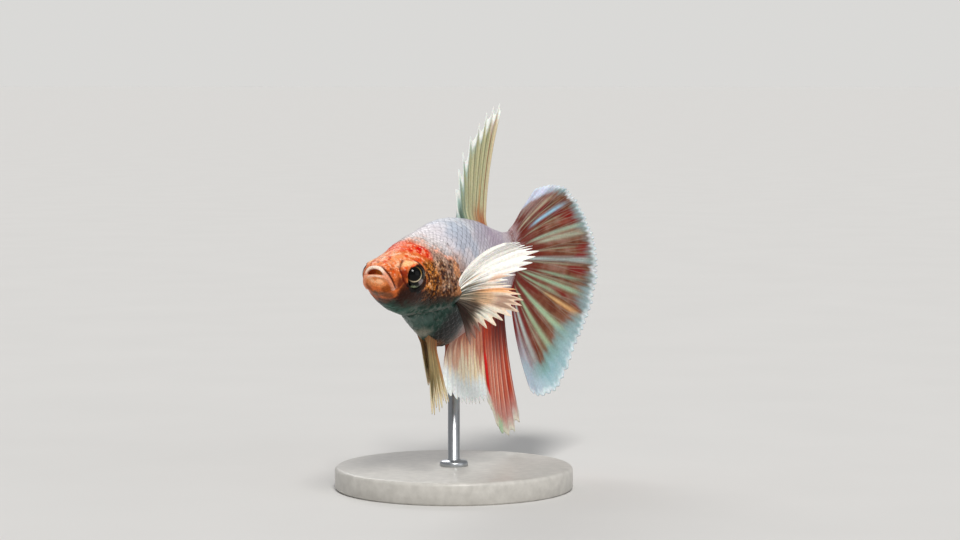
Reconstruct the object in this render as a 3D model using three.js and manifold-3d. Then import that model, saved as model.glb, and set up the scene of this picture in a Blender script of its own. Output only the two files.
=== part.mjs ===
// A male betta fish with a short round tail and large side fins, as a still, life-size
// display model on a plain stand.
//
// Millimetres, +Z up. The fish faces -X and its left side is towards -Y. The origin is the
// centre of the underside of the stand's base.
//
// The fish is laid out in its own frame: x runs back from the snout, z up from the mouth, and
// the left side is towards -y. One closed body is parted by thin cuts into head, lower jaw, gill
// covers, trunk and tail stem, and each fin is a fan of rays drawn as a thin sheet.

import * as THREE from 'three';
import { mergeVertices } from 'three/addons/utils/BufferGeometryUtils.js';
import Module from 'manifold-3d';

const wasm = await Module();
wasm.setup();

// ---- Driving dimensions -------------------------------------------------------------------

const BODY_LENGTH = 45; // snout to the root of the tail fin
const MOUTH_HEIGHT = 31; // mouth above the surface that the stand is on
const GAP = 0.3; // clearance between neighbouring pieces
const FIN_THICKNESS = 0.6;

// The body at stations along its length: distance from the snout, height of the back and of the
// belly, half width, height of the widest point, and how keeled the lower half is, 1 being round.
const STATIONS = [
  [0.0, 1.35, -2.3, 2.2, -0.5, 1],
  [0.9, 1.55, -2.8, 2.45, -0.6, 1],
  [1.9, 1.45, -3.2, 2.5, -0.75, 1],
  [3.2, 1.8, -4.1, 2.9, -0.9, 1],
  [6.0, 2.45, -5.5, 3.5, -1.2, 1.1],
  [9.5, 3.5, -6.5, 4.05, -1.8, 1.7],
  [15.0, 4.7, -10.1, 4.6, -2.5, 2],
  [20.0, 5.7, -11.3, 4.4, -2.6, 1.7],
  [26.0, 5.65, -10.4, 3.65, -2.3, 1.4],
  [32.0, 4.9, -8.8, 2.7, -1.8, 1.2],
  [38.0, 3.5, -6.8, 1.8, -1.3, 1.1],
  [42.0, 2.9, -5.5, 1.25, -1.1, 1],
  [BODY_LENGTH, 3.1, -5.3, 0.6, -1.1, 1],
];
const SNOUT_ROUND = 1.5; // length of the rounded end of the snout
const SNOUT_PUSH = 0.35; // how far its tip stands ahead of the first station
const SNOUT_TIP_HEIGHT = 0.15;
const SNOUT_RINGS = 4;
const BODY_RINGS = 24;
const RING_CROWDING = 1.25; // above 1, the rings stand closer together on the head
const BODY_SIDES = 24;

const EYE_RADIUS = 1.7;
const EYE_CENTRE = { back: 5.7, side: 2.45, up: -0.7 };

const GILL_THICKNESS = 0.8;
const STEM_START = 36; // where the trunk ends and the tail stem begins

// Lines in the side view, each a smooth curve through [back, up] points.
const GILL_EDGE = [ // rear and lower edge of the gill covers, from above the nape to the throat
  [12.6, 9], [13.8, 4.8], [15.2, 2.8], [16.5, 0.2], [17.0, -2.3], [16.3, -4.2], [14.4, -5.3],
  [11, -5.9], [7.6, -6.6], [5.8, -9],
];
const JAW_EDGE = [ // mouth opening, then the hinge side of the lower jaw down to the throat
  [-2, 0.3], [0.2, 0.1], [1.6, -0.75], [2.9, -1.8], [4.3, -3.1], [5.6, -4.2], [6.4, -6.5],
];
const CHEEK_EDGE = [ // front edge of a gill cover, top to bottom
  [13.5, 2.4], [11.2, 1.7], [9.6, -0.4], [9.1, -2.8], [9.6, -4.9], [10.4, -7],
];
const FAR = 30; // past everything in the side view

const BASE_RADIUS = 16;
const BASE_HEIGHT = 3;
const BASE_BEVEL = 0.5;
const BASE_SIDES = 40;
const ROD_RADIUS = 0.8;
const ROD_SIDES = 16;
const ROD_AT = { back: 28.5, side: -1.7 }; // where the rod meets the belly, right of the middle

// ---- Small helpers ------------------------------------------------------------------------

const { degToRad, lerp } = THREE.MathUtils;

/** Smooth reading of one column of the stations at a distance from the snout. */
function stationCurve(column) {
  const x = STATIONS.map((row) => row[0]);
  const y = STATIONS.map((row) => row[column]);
  const last = x.length - 1;
  const rise = x.slice(1).map((_, i) => (y[i + 1] - y[i]) / (x[i + 1] - x[i]));
  const slope = x.map((_, i) => {
    if (i === 0) return rise[0];
    if (i === last) return rise[last - 1];
    const before = x[i] - x[i - 1];
    const after = x[i + 1] - x[i];
    return (rise[i - 1] * after + rise[i] * before) / (before + after);
  });
  return (s) => {
    const at = THREE.MathUtils.clamp(s, 0, BODY_LENGTH);
    const i = Math.min(x.findLastIndex((value) => value <= at), last - 1);
    const step = x[i + 1] - x[i];
    const t = (at - x[i]) / step;
    const fromStart = y[i] * (2 * t ** 3 - 3 * t ** 2 + 1) + slope[i] * step * (t ** 3 - 2 * t ** 2 + t);
    const fromEnd = y[i + 1] * (3 * t ** 2 - 2 * t ** 3) + slope[i + 1] * step * (t ** 3 - t ** 2);
    return fromStart + fromEnd;
  };
}

/** Smooth curve through evenly spaced values, read at u from 0 to 1. */
function curve(values, u) {
  const last = values.length - 1;
  const at = u * last;
  const i = Math.min(Math.floor(at), last - 1);
  const t = at - i;
  const b = values[i];
  const c = values[i + 1];
  const a = i > 0 ? values[i - 1] : 2 * b - c;
  const d = i + 2 <= last ? values[i + 2] : 2 * c - b;
  return b + 0.5 * t * (c - a + t * (2 * a - 5 * b + 4 * c - d + t * (3 * (b - c) + d - a)));
}

/** A closed geometry from points and triangles, with its faces turned outwards. */
function closedGeometry(points, triangles) {
  const volume = triangles.reduce((sum, [i, j, k]) => {
    const normal = new THREE.Vector3().crossVectors(points[j], points[k]);
    return sum + points[i].dot(normal);
  }, 0);
  const faces = volume > 0 ? triangles : triangles.map(([i, j, k]) => [i, k, j]);
  const geometry = new THREE.BufferGeometry().setFromPoints(points);
  geometry.setIndex(faces.flat());
  return geometry;
}

function toSolid(geometry) {
  const bare = geometry.clone();
  bare.deleteAttribute('normal');
  bare.deleteAttribute('uv');
  const merged = mergeVertices(bare, 1e-5);
  return new wasm.Manifold(new wasm.Mesh({
    numProp: 3,
    vertProperties: new Float32Array(merged.attributes.position.array),
    triVerts: new Uint32Array(merged.index.array),
  }));
}

function toGeometry(solid) {
  const mesh = solid.getMesh();
  const geometry = new THREE.BufferGeometry();
  geometry.setAttribute('position', new THREE.BufferAttribute(mesh.vertProperties, 3));
  geometry.setIndex(new THREE.BufferAttribute(mesh.triVerts, 1));
  geometry.computeVertexNormals();
  return geometry;
}

// ---- Body ---------------------------------------------------------------------------------

const backHeight = stationCurve(1);
const bellyHeight = stationCurve(2);
const halfWidth = stationCurve(3);
const widestHeight = stationCurve(4);
const keel = stationCurve(5);

/** A point on the body's surface, grown outwards by some distance; angle 90 is the back. */
function bodyPoint(s, angle, grow) {
  const round = s < SNOUT_ROUND ? Math.sqrt(1 - (1 - s / SNOUT_ROUND) ** 2) : 1;
  const middle = lerp(SNOUT_TIP_HEIGHT, widestHeight(s), round);
  const up = Math.sin(angle);
  const across = Math.cos(angle);
  const reach = up > 0 ? backHeight(s) - widestHeight(s) : widestHeight(s) - bellyHeight(s);
  const bulge = Math.sign(across) * Math.abs(across) ** (up > 0 ? 1 : keel(s));
  return new THREE.Vector3(
    s - (SNOUT_PUSH + grow) * (1 - round),
    -(halfWidth(s) * round + grow) * bulge,
    middle + (reach * round + grow) * up,
  );
}

function bodySolid(grow) {
  const distances = [];
  for (let i = 1; i <= SNOUT_RINGS; i += 1) {
    distances.push(SNOUT_ROUND * (1 - Math.cos((i / SNOUT_RINGS) * (Math.PI / 2))));
  }
  for (let i = 1; i <= BODY_RINGS; i += 1) {
    distances.push(lerp(SNOUT_ROUND, BODY_LENGTH, (i / BODY_RINGS) ** RING_CROWDING));
  }
  const points = distances.flatMap((s) => Array.from(
    { length: BODY_SIDES },
    (_, j) => bodyPoint(s, (j / BODY_SIDES) * 2 * Math.PI, grow),
  ));
  const snout = points.push(bodyPoint(0, 0, grow).setY(0)) - 1;
  const end = points.push(new THREE.Vector3(BODY_LENGTH + grow, 0, widestHeight(BODY_LENGTH))) - 1;
  const lastRing = (distances.length - 1) * BODY_SIDES;
  const triangles = [];
  for (let j = 0; j < BODY_SIDES; j += 1) {
    const next = (j + 1) % BODY_SIDES;
    triangles.push([snout, next, j]);
    triangles.push([end, lastRing + j, lastRing + next]);
    for (let ring = 0; ring < lastRing; ring += BODY_SIDES) {
      triangles.push([ring + j, ring + next, ring + BODY_SIDES + next]);
      triangles.push([ring + j, ring + BODY_SIDES + next, ring + BODY_SIDES + j]);
    }
  }
  return toSolid(closedGeometry(points, triangles));
}

/**
 * What lies to one side of a line in the side view, across the whole fish. The line is smoothed
 * and moved sideways by shift, and corners close the outline round that side.
 */
function sideRegion(line, corners, shift, smooth = 2) {
  const spline = new THREE.SplineCurve(line.map(([back, up]) => new THREE.Vector2(back, up)));
  const count = (line.length - 1) * smooth;
  const outline = Array.from({ length: count + 1 }, (_, i) => {
    const tangent = spline.getTangent(i / count);
    return spline.getPoint(i / count).add(new THREE.Vector2(-tangent.y, tangent.x).multiplyScalar(shift));
  });
  corners.forEach(([back, up]) => outline.push(new THREE.Vector2(back, up)));
  const geometry = new THREE.ExtrudeGeometry(new THREE.Shape(outline), {
    depth: 2 * FAR,
    bevelEnabled: false,
  });
  geometry.rotateX(Math.PI / 2);
  geometry.translate(0, FAR, 0);
  return toSolid(geometry);
}

/** One side of the fish: 1 is its left, -1 its right. */
function halfSpace(side) {
  const box = new THREE.BoxGeometry(4 * FAR, 2 * FAR, 4 * FAR);
  box.translate(0, -side * FAR, 0);
  return toSolid(box);
}

function eyeGeometry(side, radius) {
  const eye = new THREE.SphereGeometry(radius, 16, 10);
  eye.translate(EYE_CENTRE.back, -side * EYE_CENTRE.side, EYE_CENTRE.up);
  return eye;
}

const whole = bodySolid(0);
const clearance = bodySolid(GAP);

const aheadOfGills = (shift) => sideRegion(GILL_EDGE, [[-FAR, -FAR], [-FAR, FAR]], -shift);
const behindGills = (shift) => sideRegion(GILL_EDGE, [[FAR * 2, -FAR], [FAR * 2, FAR]], shift);
const belowMouth = (shift) => sideRegion(JAW_EDGE, [[-FAR, -FAR], [-FAR, 0.3]], -shift);
const gillArea = (shift) => sideRegion(CHEEK_EDGE, [[FAR, -7], [FAR, 2.4]], shift);
const fromStem = (start) => toSolid(
  new THREE.BoxGeometry(FAR, 2 * FAR, 2 * FAR).translate(start + FAR / 2, 0, 0),
);

const jaw = whole.intersect(belowMouth(GAP / 2));
const trunk = whole.intersect(behindGills(GAP / 2)).subtract(fromStem(STEM_START - GAP / 2));
const tailStem = whole.intersect(fromStem(STEM_START + GAP / 2));
const front = whole.intersect(aheadOfGills(GAP / 2));
const gillCovers = front.subtract(bodySolid(-GILL_THICKNESS)).intersect(gillArea(0));
const gillRecess = clearance.subtract(bodySolid(-GILL_THICKNESS - GAP)).intersect(gillArea(-GAP));
const head = front
  .subtract(belowMouth(-GAP / 2))
  .subtract(gillRecess)
  .subtract(toSolid(eyeGeometry(1, EYE_RADIUS + GAP)))
  .subtract(toSolid(eyeGeometry(-1, EYE_RADIUS + GAP)));

// ---- Fins ---------------------------------------------------------------------------------
//
// u runs across a fin from its first ray to its last, and r along each ray from root to tip.
// Leave and reach are the angles of a ray at its root and at its tip, in degrees above straight
// back, and length is the ray's own. Sway bends the fin out of its plane, and pleats ruffle it.
// Each list is read as a smooth curve across the fin. The margin has as many points as stated,
// cut in by notch, and rows is the number of cells along a ray.

/** The plane of a fin, as its directions back, up and out: spread is its angle off the body. */
function finPlane(side, spread) {
  const angle = degToRad(spread);
  return {
    back: new THREE.Vector3(Math.cos(angle), -side * Math.sin(angle), 0),
    up: new THREE.Vector3(0, 0, 1),
    out: new THREE.Vector3(-Math.sin(angle), -side * Math.cos(angle), 0),
  };
}

function pectoralRoot(side) {
  return (u) => new THREE.Vector3(15.7 + 0.5 * u, -side * (4.35 - 0.4 * u), -2.3 - 2.6 * u);
}

function pelvicRoot(side) {
  return (u) => {
    const s = 14.6 + 2.6 * u;
    return new THREE.Vector3(s, -side * 0.45, bellyHeight(s) + 0.9);
  };
}

const FINS = {
  dorsal_fin: {
    root: (u) => new THREE.Vector3(26 + 9.3 * u, 0, backHeight(26 + 9.3 * u) - 0.5),
    plane: finPlane(1, 0),
    leave: [106, 95, 88, 86, 88],
    reach: [112, 94, 66, 56, 51],
    length: [3.0, 8.4, 13.4, 17.4, 18.7],
    sway: [0, -0.5, 0],
    swayPower: 1.5,
    pleats: 0,
    points: 11,
    notch: 1.3,
    rows: 3,
  },
  anal_fin: {
    root: (u) => new THREE.Vector3(22.5 + 19 * u, 0, bellyHeight(22.5 + 19 * u) + 0.5),
    plane: finPlane(1, 0),
    leave: [-118, -92, -90, -86, -86, -84],
    reach: [-84, -92, -88, -74, -72, -64],
    length: [6.7, 8.1, 9.3, 10.2, 11.1, 11.9, 13.0, 16.4, 19.4, 20.6, 19.6],
    sway: [0, 0.65, 0.3, -0.05, 0.6],
    swayPower: 1.7,
    pleats: 0,
    points: 22,
    notch: 0.7,
    rows: 3,
  },
  caudal_fin: {
    root: (u) => new THREE.Vector3(44.3 + 1.1 * Math.sin(Math.PI * u), 0, 2.9 - 8 * u),
    plane: finPlane(1, 0),
    leave: [39, 26, 2, -30, -92],
    reach: [33, 20, -5, -42, -74],
    length: [9.6, 13.3, 15.1, 15.4, 15.1, 14.8, 15.4, 15.9, 15.9, 17.7, 15.2],
    sway: [0.6, 4.0, 7.1, 5.6, 2.4],
    swayPower: 1.6,
    pleats: 0,
    points: 44,
    notch: 0.6,
    rows: 3,
  },
  pectoral_fin_left: {
    root: pectoralRoot(1),
    plane: finPlane(1, 55),
    leave: [64, 50, 31, 12, -12, -66],
    reach: [12, 8, 3, -8, -40, -86],
    length: [8.6, 10.2, 11.2, 12.3, 10.3, 7.4, 8.8, 9.4, 7.6, 5.8, 6.6],
    sway: [0, 0],
    swayPower: 1,
    pleats: 3,
    points: 15,
    notch: 1.1,
    rows: 4,
  },
  pectoral_fin_right: {
    root: pectoralRoot(-1),
    plane: finPlane(-1, 16),
    leave: [44, 32, 20, 6, -6, -16],
    reach: [14, 6, 0, -8, -14, -18],
    length: [10.0, 11.0, 9.8, 8.8, 7.4, 6.2],
    sway: [1.2, 1.2],
    swayPower: 1,
    pleats: 3,
    points: 15,
    notch: 1.1,
    rows: 4,
  },
  pelvic_fin_left: {
    root: pelvicRoot(1),
    plane: finPlane(1, 20),
    leave: [-88, -86, -82],
    reach: [-102, -90, -78],
    length: [10.5, 10.8, 9.9, 9.3, 9.4],
    sway: [1.7, 1.7],
    swayPower: 1,
    pleats: 0,
    points: 4,
    notch: 2.4,
    rows: 4,
  },
  pelvic_fin_right: {
    root: pelvicRoot(-1),
    plane: finPlane(-1, 20),
    leave: [-72, -72, -70],
    reach: [-84, -80, -76],
    length: [7.4, 7.2, 6.4],
    sway: [-1.0, -1.0],
    swayPower: 1,
    pleats: 0,
    points: 4,
    notch: 1.8,
    rows: 4,
  },
};
const PLEAT_DEPTH = 0.35;

/** A point on a fin's middle surface. */
function finPoint(fin, u, r) {
  const leave = degToRad(curve(fin.leave, u));
  const turn = degToRad(curve(fin.reach, u)) - leave || 1e-4;
  const angle = leave + turn * r;
  const length = curve(fin.length, u);
  const sway = curve(fin.sway, u) * r ** fin.swayPower;
  const pleat = PLEAT_DEPTH * Math.sin(2 * Math.PI * fin.pleats * u) * r;
  return fin.root(u)
    .addScaledVector(fin.plane.back, (length * (Math.sin(angle) - Math.sin(leave))) / turn)
    .addScaledVector(fin.plane.up, (length * (Math.cos(leave) - Math.cos(angle))) / turn)
    .addScaledVector(fin.plane.out, sway + pleat);
}

function finNormal(fin, u, r) {
  const step = 1e-3;
  const across = finPoint(fin, Math.min(u + step, 1), r).sub(finPoint(fin, Math.max(u - step, 0), r));
  const along = finPoint(fin, u, Math.min(r + step, 1)).sub(finPoint(fin, u, Math.max(r - step, 0)));
  return across.cross(along).normalize();
}

/** A fin as a closed sheet of even thickness, its margin cut into points. */
function finSolid(fin) {
  const columns = 2 * fin.points;
  const points = [];
  for (let column = 0; column <= columns; column += 1) {
    const u = column / columns;
    const share = column % 2 ? 1 : 1 - fin.notch / curve(fin.length, u);
    for (let row = 0; row <= fin.rows; row += 1) {
      const r = (share * row) / fin.rows;
      const offset = finNormal(fin, u, r).multiplyScalar(FIN_THICKNESS / 2);
      const middle = finPoint(fin, u, r);
      points.push(middle.clone().add(offset), middle.clone().sub(offset));
    }
  }
  const at = (column, row, face) => 2 * (column * (fin.rows + 1) + row) + face;
  const triangles = [];
  const quad = (a, b, c, d) => triangles.push([a, b, c], [a, c, d]);
  for (let c = 0; c < columns; c += 1) {
    for (let r = 0; r < fin.rows; r += 1) {
      quad(at(c, r, 0), at(c + 1, r, 0), at(c + 1, r + 1, 0), at(c, r + 1, 0));
      quad(at(c, r, 1), at(c, r + 1, 1), at(c + 1, r + 1, 1), at(c + 1, r, 1));
    }
    quad(at(c, 0, 1), at(c + 1, 0, 1), at(c + 1, 0, 0), at(c, 0, 0));
    quad(at(c, fin.rows, 0), at(c + 1, fin.rows, 0), at(c + 1, fin.rows, 1), at(c, fin.rows, 1));
  }
  for (let r = 0; r < fin.rows; r += 1) {
    quad(at(0, r, 0), at(0, r + 1, 0), at(0, r + 1, 1), at(0, r, 1));
    quad(at(columns, r, 1), at(columns, r + 1, 1), at(columns, r + 1, 0), at(columns, r, 0));
  }
  return toSolid(closedGeometry(points, triangles)).subtract(clearance);
}

// ---- Stand --------------------------------------------------------------------------------

const fishPlace = new THREE.Vector3(-ROD_AT.back, ROD_AT.side, MOUTH_HEIGHT);

function standBase() {
  const profile = [
    [0, 0],
    [BASE_RADIUS, 0],
    [BASE_RADIUS, BASE_HEIGHT - BASE_BEVEL],
    [BASE_RADIUS - BASE_BEVEL, BASE_HEIGHT],
    [0, BASE_HEIGHT],
  ].map(([radius, height]) => new THREE.Vector2(radius, height));
  return new THREE.LatheGeometry(profile, BASE_SIDES).rotateX(Math.PI / 2);
}

function standRod() {
  const low = BASE_HEIGHT + GAP;
  const rod = new THREE.CylinderGeometry(ROD_RADIUS, ROD_RADIUS, MOUTH_HEIGHT - low, ROD_SIDES);
  rod.rotateX(Math.PI / 2);
  rod.translate(0, 0, (MOUTH_HEIGHT + low) / 2);
  return toGeometry(toSolid(rod).subtract(clearance.translate(fishPlace.toArray())));
}

// ---- Assembly -----------------------------------------------------------------------------

function finish(color, roughness, metalness = 0) {
  return new THREE.MeshStandardMaterial({ color, roughness, metalness });
}

const FINISHES = {
  orange: finish(0xd9743f, 0.45),
  cheek: finish(0x8a5f4a, 0.45),
  silver: finish(0xc4c2cf, 0.4),
  lilac: finish(0xb6acbf, 0.4),
  pupil: finish(0x14110f, 0.1),
  cream: finish(0xe9dfcf, 0.5),
  green: finish(0xb9b79c, 0.5),
  red: finish(0x8c3a35, 0.5),
  olive: finish(0xb5a88c, 0.5),
  steel: finish(0xb9bcc0, 0.3, 1),
  grey: finish(0xc9c7c2, 0.6),
};

const FIN_FINISHES = {
  dorsal_fin: FINISHES.green,
  anal_fin: FINISHES.red,
  caudal_fin: FINISHES.red,
  pectoral_fin_left: FINISHES.cream,
  pectoral_fin_right: FINISHES.cream,
  pelvic_fin_left: FINISHES.olive,
  pelvic_fin_right: FINISHES.olive,
};

function addNode(group, name, geometry, material) {
  const mesh = new THREE.Mesh(geometry, material);
  mesh.name = name;
  group.add(mesh);
}

const fish = new THREE.Group();
fish.position.copy(fishPlace);
addNode(fish, 'head', toGeometry(head), FINISHES.orange);
addNode(fish, 'lower_jaw', toGeometry(jaw), FINISHES.orange);
addNode(fish, 'trunk', toGeometry(trunk), FINISHES.silver);
addNode(fish, 'tail_stem', toGeometry(tailStem), FINISHES.lilac);
for (const [name, side] of [['left', 1], ['right', -1]]) {
  const cover = gillCovers.intersect(halfSpace(side));
  addNode(fish, `gill_cover_${name}`, toGeometry(cover), FINISHES.cheek);
  addNode(fish, `eye_${name}`, eyeGeometry(side, EYE_RADIUS), FINISHES.pupil);
}
for (const [name, fin] of Object.entries(FINS)) {
  addNode(fish, name, toGeometry(finSolid(fin)), FIN_FINISHES[name]);
}

const model = new THREE.Group();
model.add(fish);
addNode(model, 'stand_base', standBase(), FINISHES.grey);
addNode(model, 'stand_rod', standRod(), FINISHES.steel);

export default model;
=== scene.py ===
"""A male betta fish as a life-size display model: skin, scales, eyes, rayed fins, stand, light."""
import math
from types import SimpleNamespace

import bpy
import numpy as np
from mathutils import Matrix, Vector


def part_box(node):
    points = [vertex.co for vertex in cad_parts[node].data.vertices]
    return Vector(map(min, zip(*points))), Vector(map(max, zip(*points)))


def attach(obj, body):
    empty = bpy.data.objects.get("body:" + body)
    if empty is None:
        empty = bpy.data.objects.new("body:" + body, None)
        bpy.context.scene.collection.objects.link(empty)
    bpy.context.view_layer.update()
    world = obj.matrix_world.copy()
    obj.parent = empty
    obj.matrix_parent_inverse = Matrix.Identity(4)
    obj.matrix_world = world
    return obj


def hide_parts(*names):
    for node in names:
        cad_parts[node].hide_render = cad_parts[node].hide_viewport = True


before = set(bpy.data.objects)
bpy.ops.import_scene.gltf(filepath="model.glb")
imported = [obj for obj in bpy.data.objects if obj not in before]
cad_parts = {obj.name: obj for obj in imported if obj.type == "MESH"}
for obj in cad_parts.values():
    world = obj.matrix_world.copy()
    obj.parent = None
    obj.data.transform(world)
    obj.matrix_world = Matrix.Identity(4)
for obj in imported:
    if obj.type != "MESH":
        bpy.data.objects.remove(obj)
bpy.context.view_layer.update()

# Points are worked out in millimetres in the fish's own frame, as in the solids: x runs back
# from the snout, z up from the mouth, and the fish's left side is towards -y.
MM = 0.001
RICHNESS = 1.06
SHEEN = 0.012  # light that gloss adds to every surface, taken off the colours
EYE_CENTRE = np.array((5.7, -2.45, -0.7))
EYE_RADIUS = 1.7
PLACE = np.mean(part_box("eye_left"), axis=0) / MM - EYE_CENTRE


def add_object(name, data, location=(0, 0, 0), back=None):
    """A new object in the scene, with its own z axis turned to a given direction."""
    piece = bpy.data.objects.new(name, data)
    piece.location = location
    if back is not None:
        piece.rotation_euler = Vector(back).to_track_quat("Z", "Y").to_euler()
    bpy.context.scene.collection.objects.link(piece)
    return piece


# ---- Camera -------------------------------------------------------------------------------

def make_camera():
    azimuth, elevation = math.radians(-67), math.radians(4)
    away = 330
    target = PLACE + (5.127, -12.032, 0.26)
    back = np.array((
        math.sin(azimuth) * math.cos(elevation),
        -math.cos(azimuth) * math.cos(elevation),
        math.sin(elevation),
    ))
    lens = bpy.data.cameras.new("view")
    lens.lens = 100
    lens.sensor_width = 36
    lens.clip_start = 0.01
    lens.clip_end = 100
    bpy.context.scene.camera = add_object("view", lens, (target + away * back) * MM, back)
    bpy.context.scene.view_settings.view_transform = "Standard"


make_camera()


# ---- Helpers ------------------------------------------------------------------------------

def smooth(low, high, value):
    """0 at low and before it, 1 at high and past it, and a smooth step between them."""
    t = np.clip((value - low) / (high - low), 0, 1)
    return t * t * (3 - 2 * t)


class Field(np.ndarray):
    """A value at each point. Called with two limits, it gives the smooth step between them."""

    def __call__(self, low, high, extra=0):
        return smooth(low, high, self + extra)

    def between(self, low, high, soft=0.03):
        """1 from low to high, fading over a short way at either side."""
        return self(low - soft, low + soft) * self(high + soft, high - soft)


def bell(value, width):
    return np.exp(-(value / width) ** 2)


def distance(points, place):
    return np.linalg.norm(points - place, axis=-1)


def blob(points, centre, radii):
    """A soft spot in space, 1 in its middle."""
    return np.exp(-np.sum(((points - centre) / radii) ** 2, axis=-1))


def rgb(text):
    """A hex colour as linear light, a little richer than it is named and less the gloss."""
    value = np.array([int(text[i:i + 2], 16) for i in (0, 2, 4)]) / 255
    value = np.where(value <= 0.04045, value / 12.92, ((value + 0.055) / 1.055) ** 2.4) - SHEEN
    grey = value @ (0.2126, 0.7152, 0.0722)
    return np.clip(grey + (value - grey) * RICHNESS, 0.002, 1)


def paint(tint, *layers, within=1):
    """Lays colours over a tint one after another, each given as a hex colour and its weight."""
    for colour, weight in layers:
        tint += (rgb(colour) - tint) * np.clip(within * weight, 0, 1)[..., None]
    return tint


def lattice_noise(points, seed):
    """Smooth random values from -1 to 1 over space, with one cell to each unit."""
    table = np.random.default_rng(seed).uniform(-1, 1, 8192)
    base = np.floor(points).astype(np.int64)
    t = points - base
    t = t * t * (3 - 2 * t)
    total = np.zeros(points.shape[:-1])
    for corner in np.ndindex(2, 2, 2):
        cell = (base + corner) * (73856093, 19349663, 83492791)
        pick = (cell[..., 0] ^ cell[..., 1] ^ cell[..., 2]) % 8192
        total += table[pick] * np.prod(np.where(corner, t, 1 - t), axis=-1)
    return total


def noise(points, size, seed, octaves=3):
    """Noise of a given size in several octaves, about -1 to 1."""
    total = sum(lattice_noise(points / size * 2 ** k, seed + k) * 0.5 ** k for k in range(octaves))
    return total.view(Field)


def cells(points, size, seed):
    """Distance to the nearest of scattered points, in cells, and a random value of its own."""
    jitter = np.random.default_rng(seed).uniform(0, 1, (4096, 4))
    scaled = points / size
    base = np.floor(scaled).astype(np.int64)
    best = np.full(points.shape[:-1], 9.0)
    value = np.zeros(points.shape[:-1])
    for shift in np.ndindex(3, 3, 3):
        cell = base + shift - 1
        mixed = cell * (92837111, 689287499, 283923481)
        pick = (mixed[..., 0] ^ mixed[..., 1] ^ mixed[..., 2]) % 4096
        apart = distance(scaled - cell, jitter[pick, :3])
        value = np.where(apart < best, jitter[pick, 3], value)
        best = np.minimum(apart, best)
    return best.view(Field), value.view(Field)


def curve(values, u):
    """Smooth curve through evenly spaced values, read at u from 0 to 1."""
    v = np.asarray(values, float)
    last = len(v) - 1
    at = u * last
    i = np.clip(np.floor(at).astype(int), 0, last - 1)
    t = at - i
    b, c = v[i], v[i + 1]
    a = np.where(i > 0, v[np.maximum(i - 1, 0)], 2 * b - c)
    d = np.where(i + 2 <= last, v[np.minimum(i + 2, last)], 2 * c - b)
    return b + 0.5 * t * (c - a + t * (2 * a - 5 * b + 4 * c - d + t * (3 * (b - c) + d - a)))


def quads(index):
    """The faces between neighbours in a grid of point numbers."""
    corners = index[:-1, :-1], index[1:, :-1], index[1:, 1:], index[:-1, 1:]
    return np.stack(corners, axis=-1).reshape(-1, 4).tolist()


def closed(index):
    """A grid of point numbers that comes round to its first column again."""
    return np.concatenate((index, index[:, :1]), axis=1)


def fan(middle, ring):
    """The triangles between a point and a ring of points."""
    ring = ring.tolist()
    return [(middle, a, b) for a, b in zip(ring, ring[1:] + ring[:1])]


def add_mesh(name, points, faces, tint, material, replaced=()):
    """A smooth-shaded piece from points in the fish's frame, faces and a colour to each point."""
    mesh = bpy.data.meshes.new(name)
    mesh.from_pydata(((points + PLACE) * MM).tolist(), [], faces)
    layer = mesh.color_attributes.new("tint", "FLOAT_COLOR", "POINT")
    rgba = np.ones((len(points), 4))
    rgba[:, :3] = np.clip(tint, 0, 1)
    layer.data.foreach_set("color", rgba.ravel())
    mesh.polygons.foreach_set("use_smooth", np.ones(len(mesh.polygons), bool))
    mesh.materials.append(material)
    piece = add_object(name, mesh)
    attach(piece, "root")
    if replaced:
        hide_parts(*replaced)
    return piece


# ---- Materials ----------------------------------------------------------------------------

def new_material(name, **values):
    material = bpy.data.materials.new(name)
    material.use_nodes = True
    shader = material.node_tree.nodes["Principled BSDF"]
    for socket, value in values.items():
        shader.inputs[socket.replace("_", " ")].default_value = value
    return material, material.node_tree, shader


def add_node(tree, kind, **values):
    node = tree.nodes.new(kind)
    for key, value in values.items():
        if key in node.inputs:
            node.inputs[key].default_value = value
        else:
            setattr(node, key, value)
    return node


def noise_node(tree, scale, detail):
    place = add_node(tree, "ShaderNodeTexCoord")
    texture = add_node(tree, "ShaderNodeTexNoise", Scale=scale, Detail=detail)
    tree.links.new(place.outputs["Object"], texture.inputs["Vector"])
    return texture.outputs["Fac"]


def ramp_node(tree, source, low, high, from_low=0.3, from_high=0.7):
    limits = {"From Min": from_low, "From Max": from_high, "To Min": low, "To Max": high}
    ramp = add_node(tree, "ShaderNodeMapRange", **limits)
    tree.links.new(source, ramp.inputs["Value"])
    return ramp.outputs["Result"]


def mix_node(tree, first, second, share):
    """One colour at share 0 and another at share 1."""
    mixer = add_node(tree, "ShaderNodeMix", data_type="RGBA")
    mixer.inputs[6].default_value = (*first, 1)
    mixer.inputs[7].default_value = (*second, 1)
    tree.links.new(share, mixer.inputs[0])
    return mixer.outputs[2]


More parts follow.
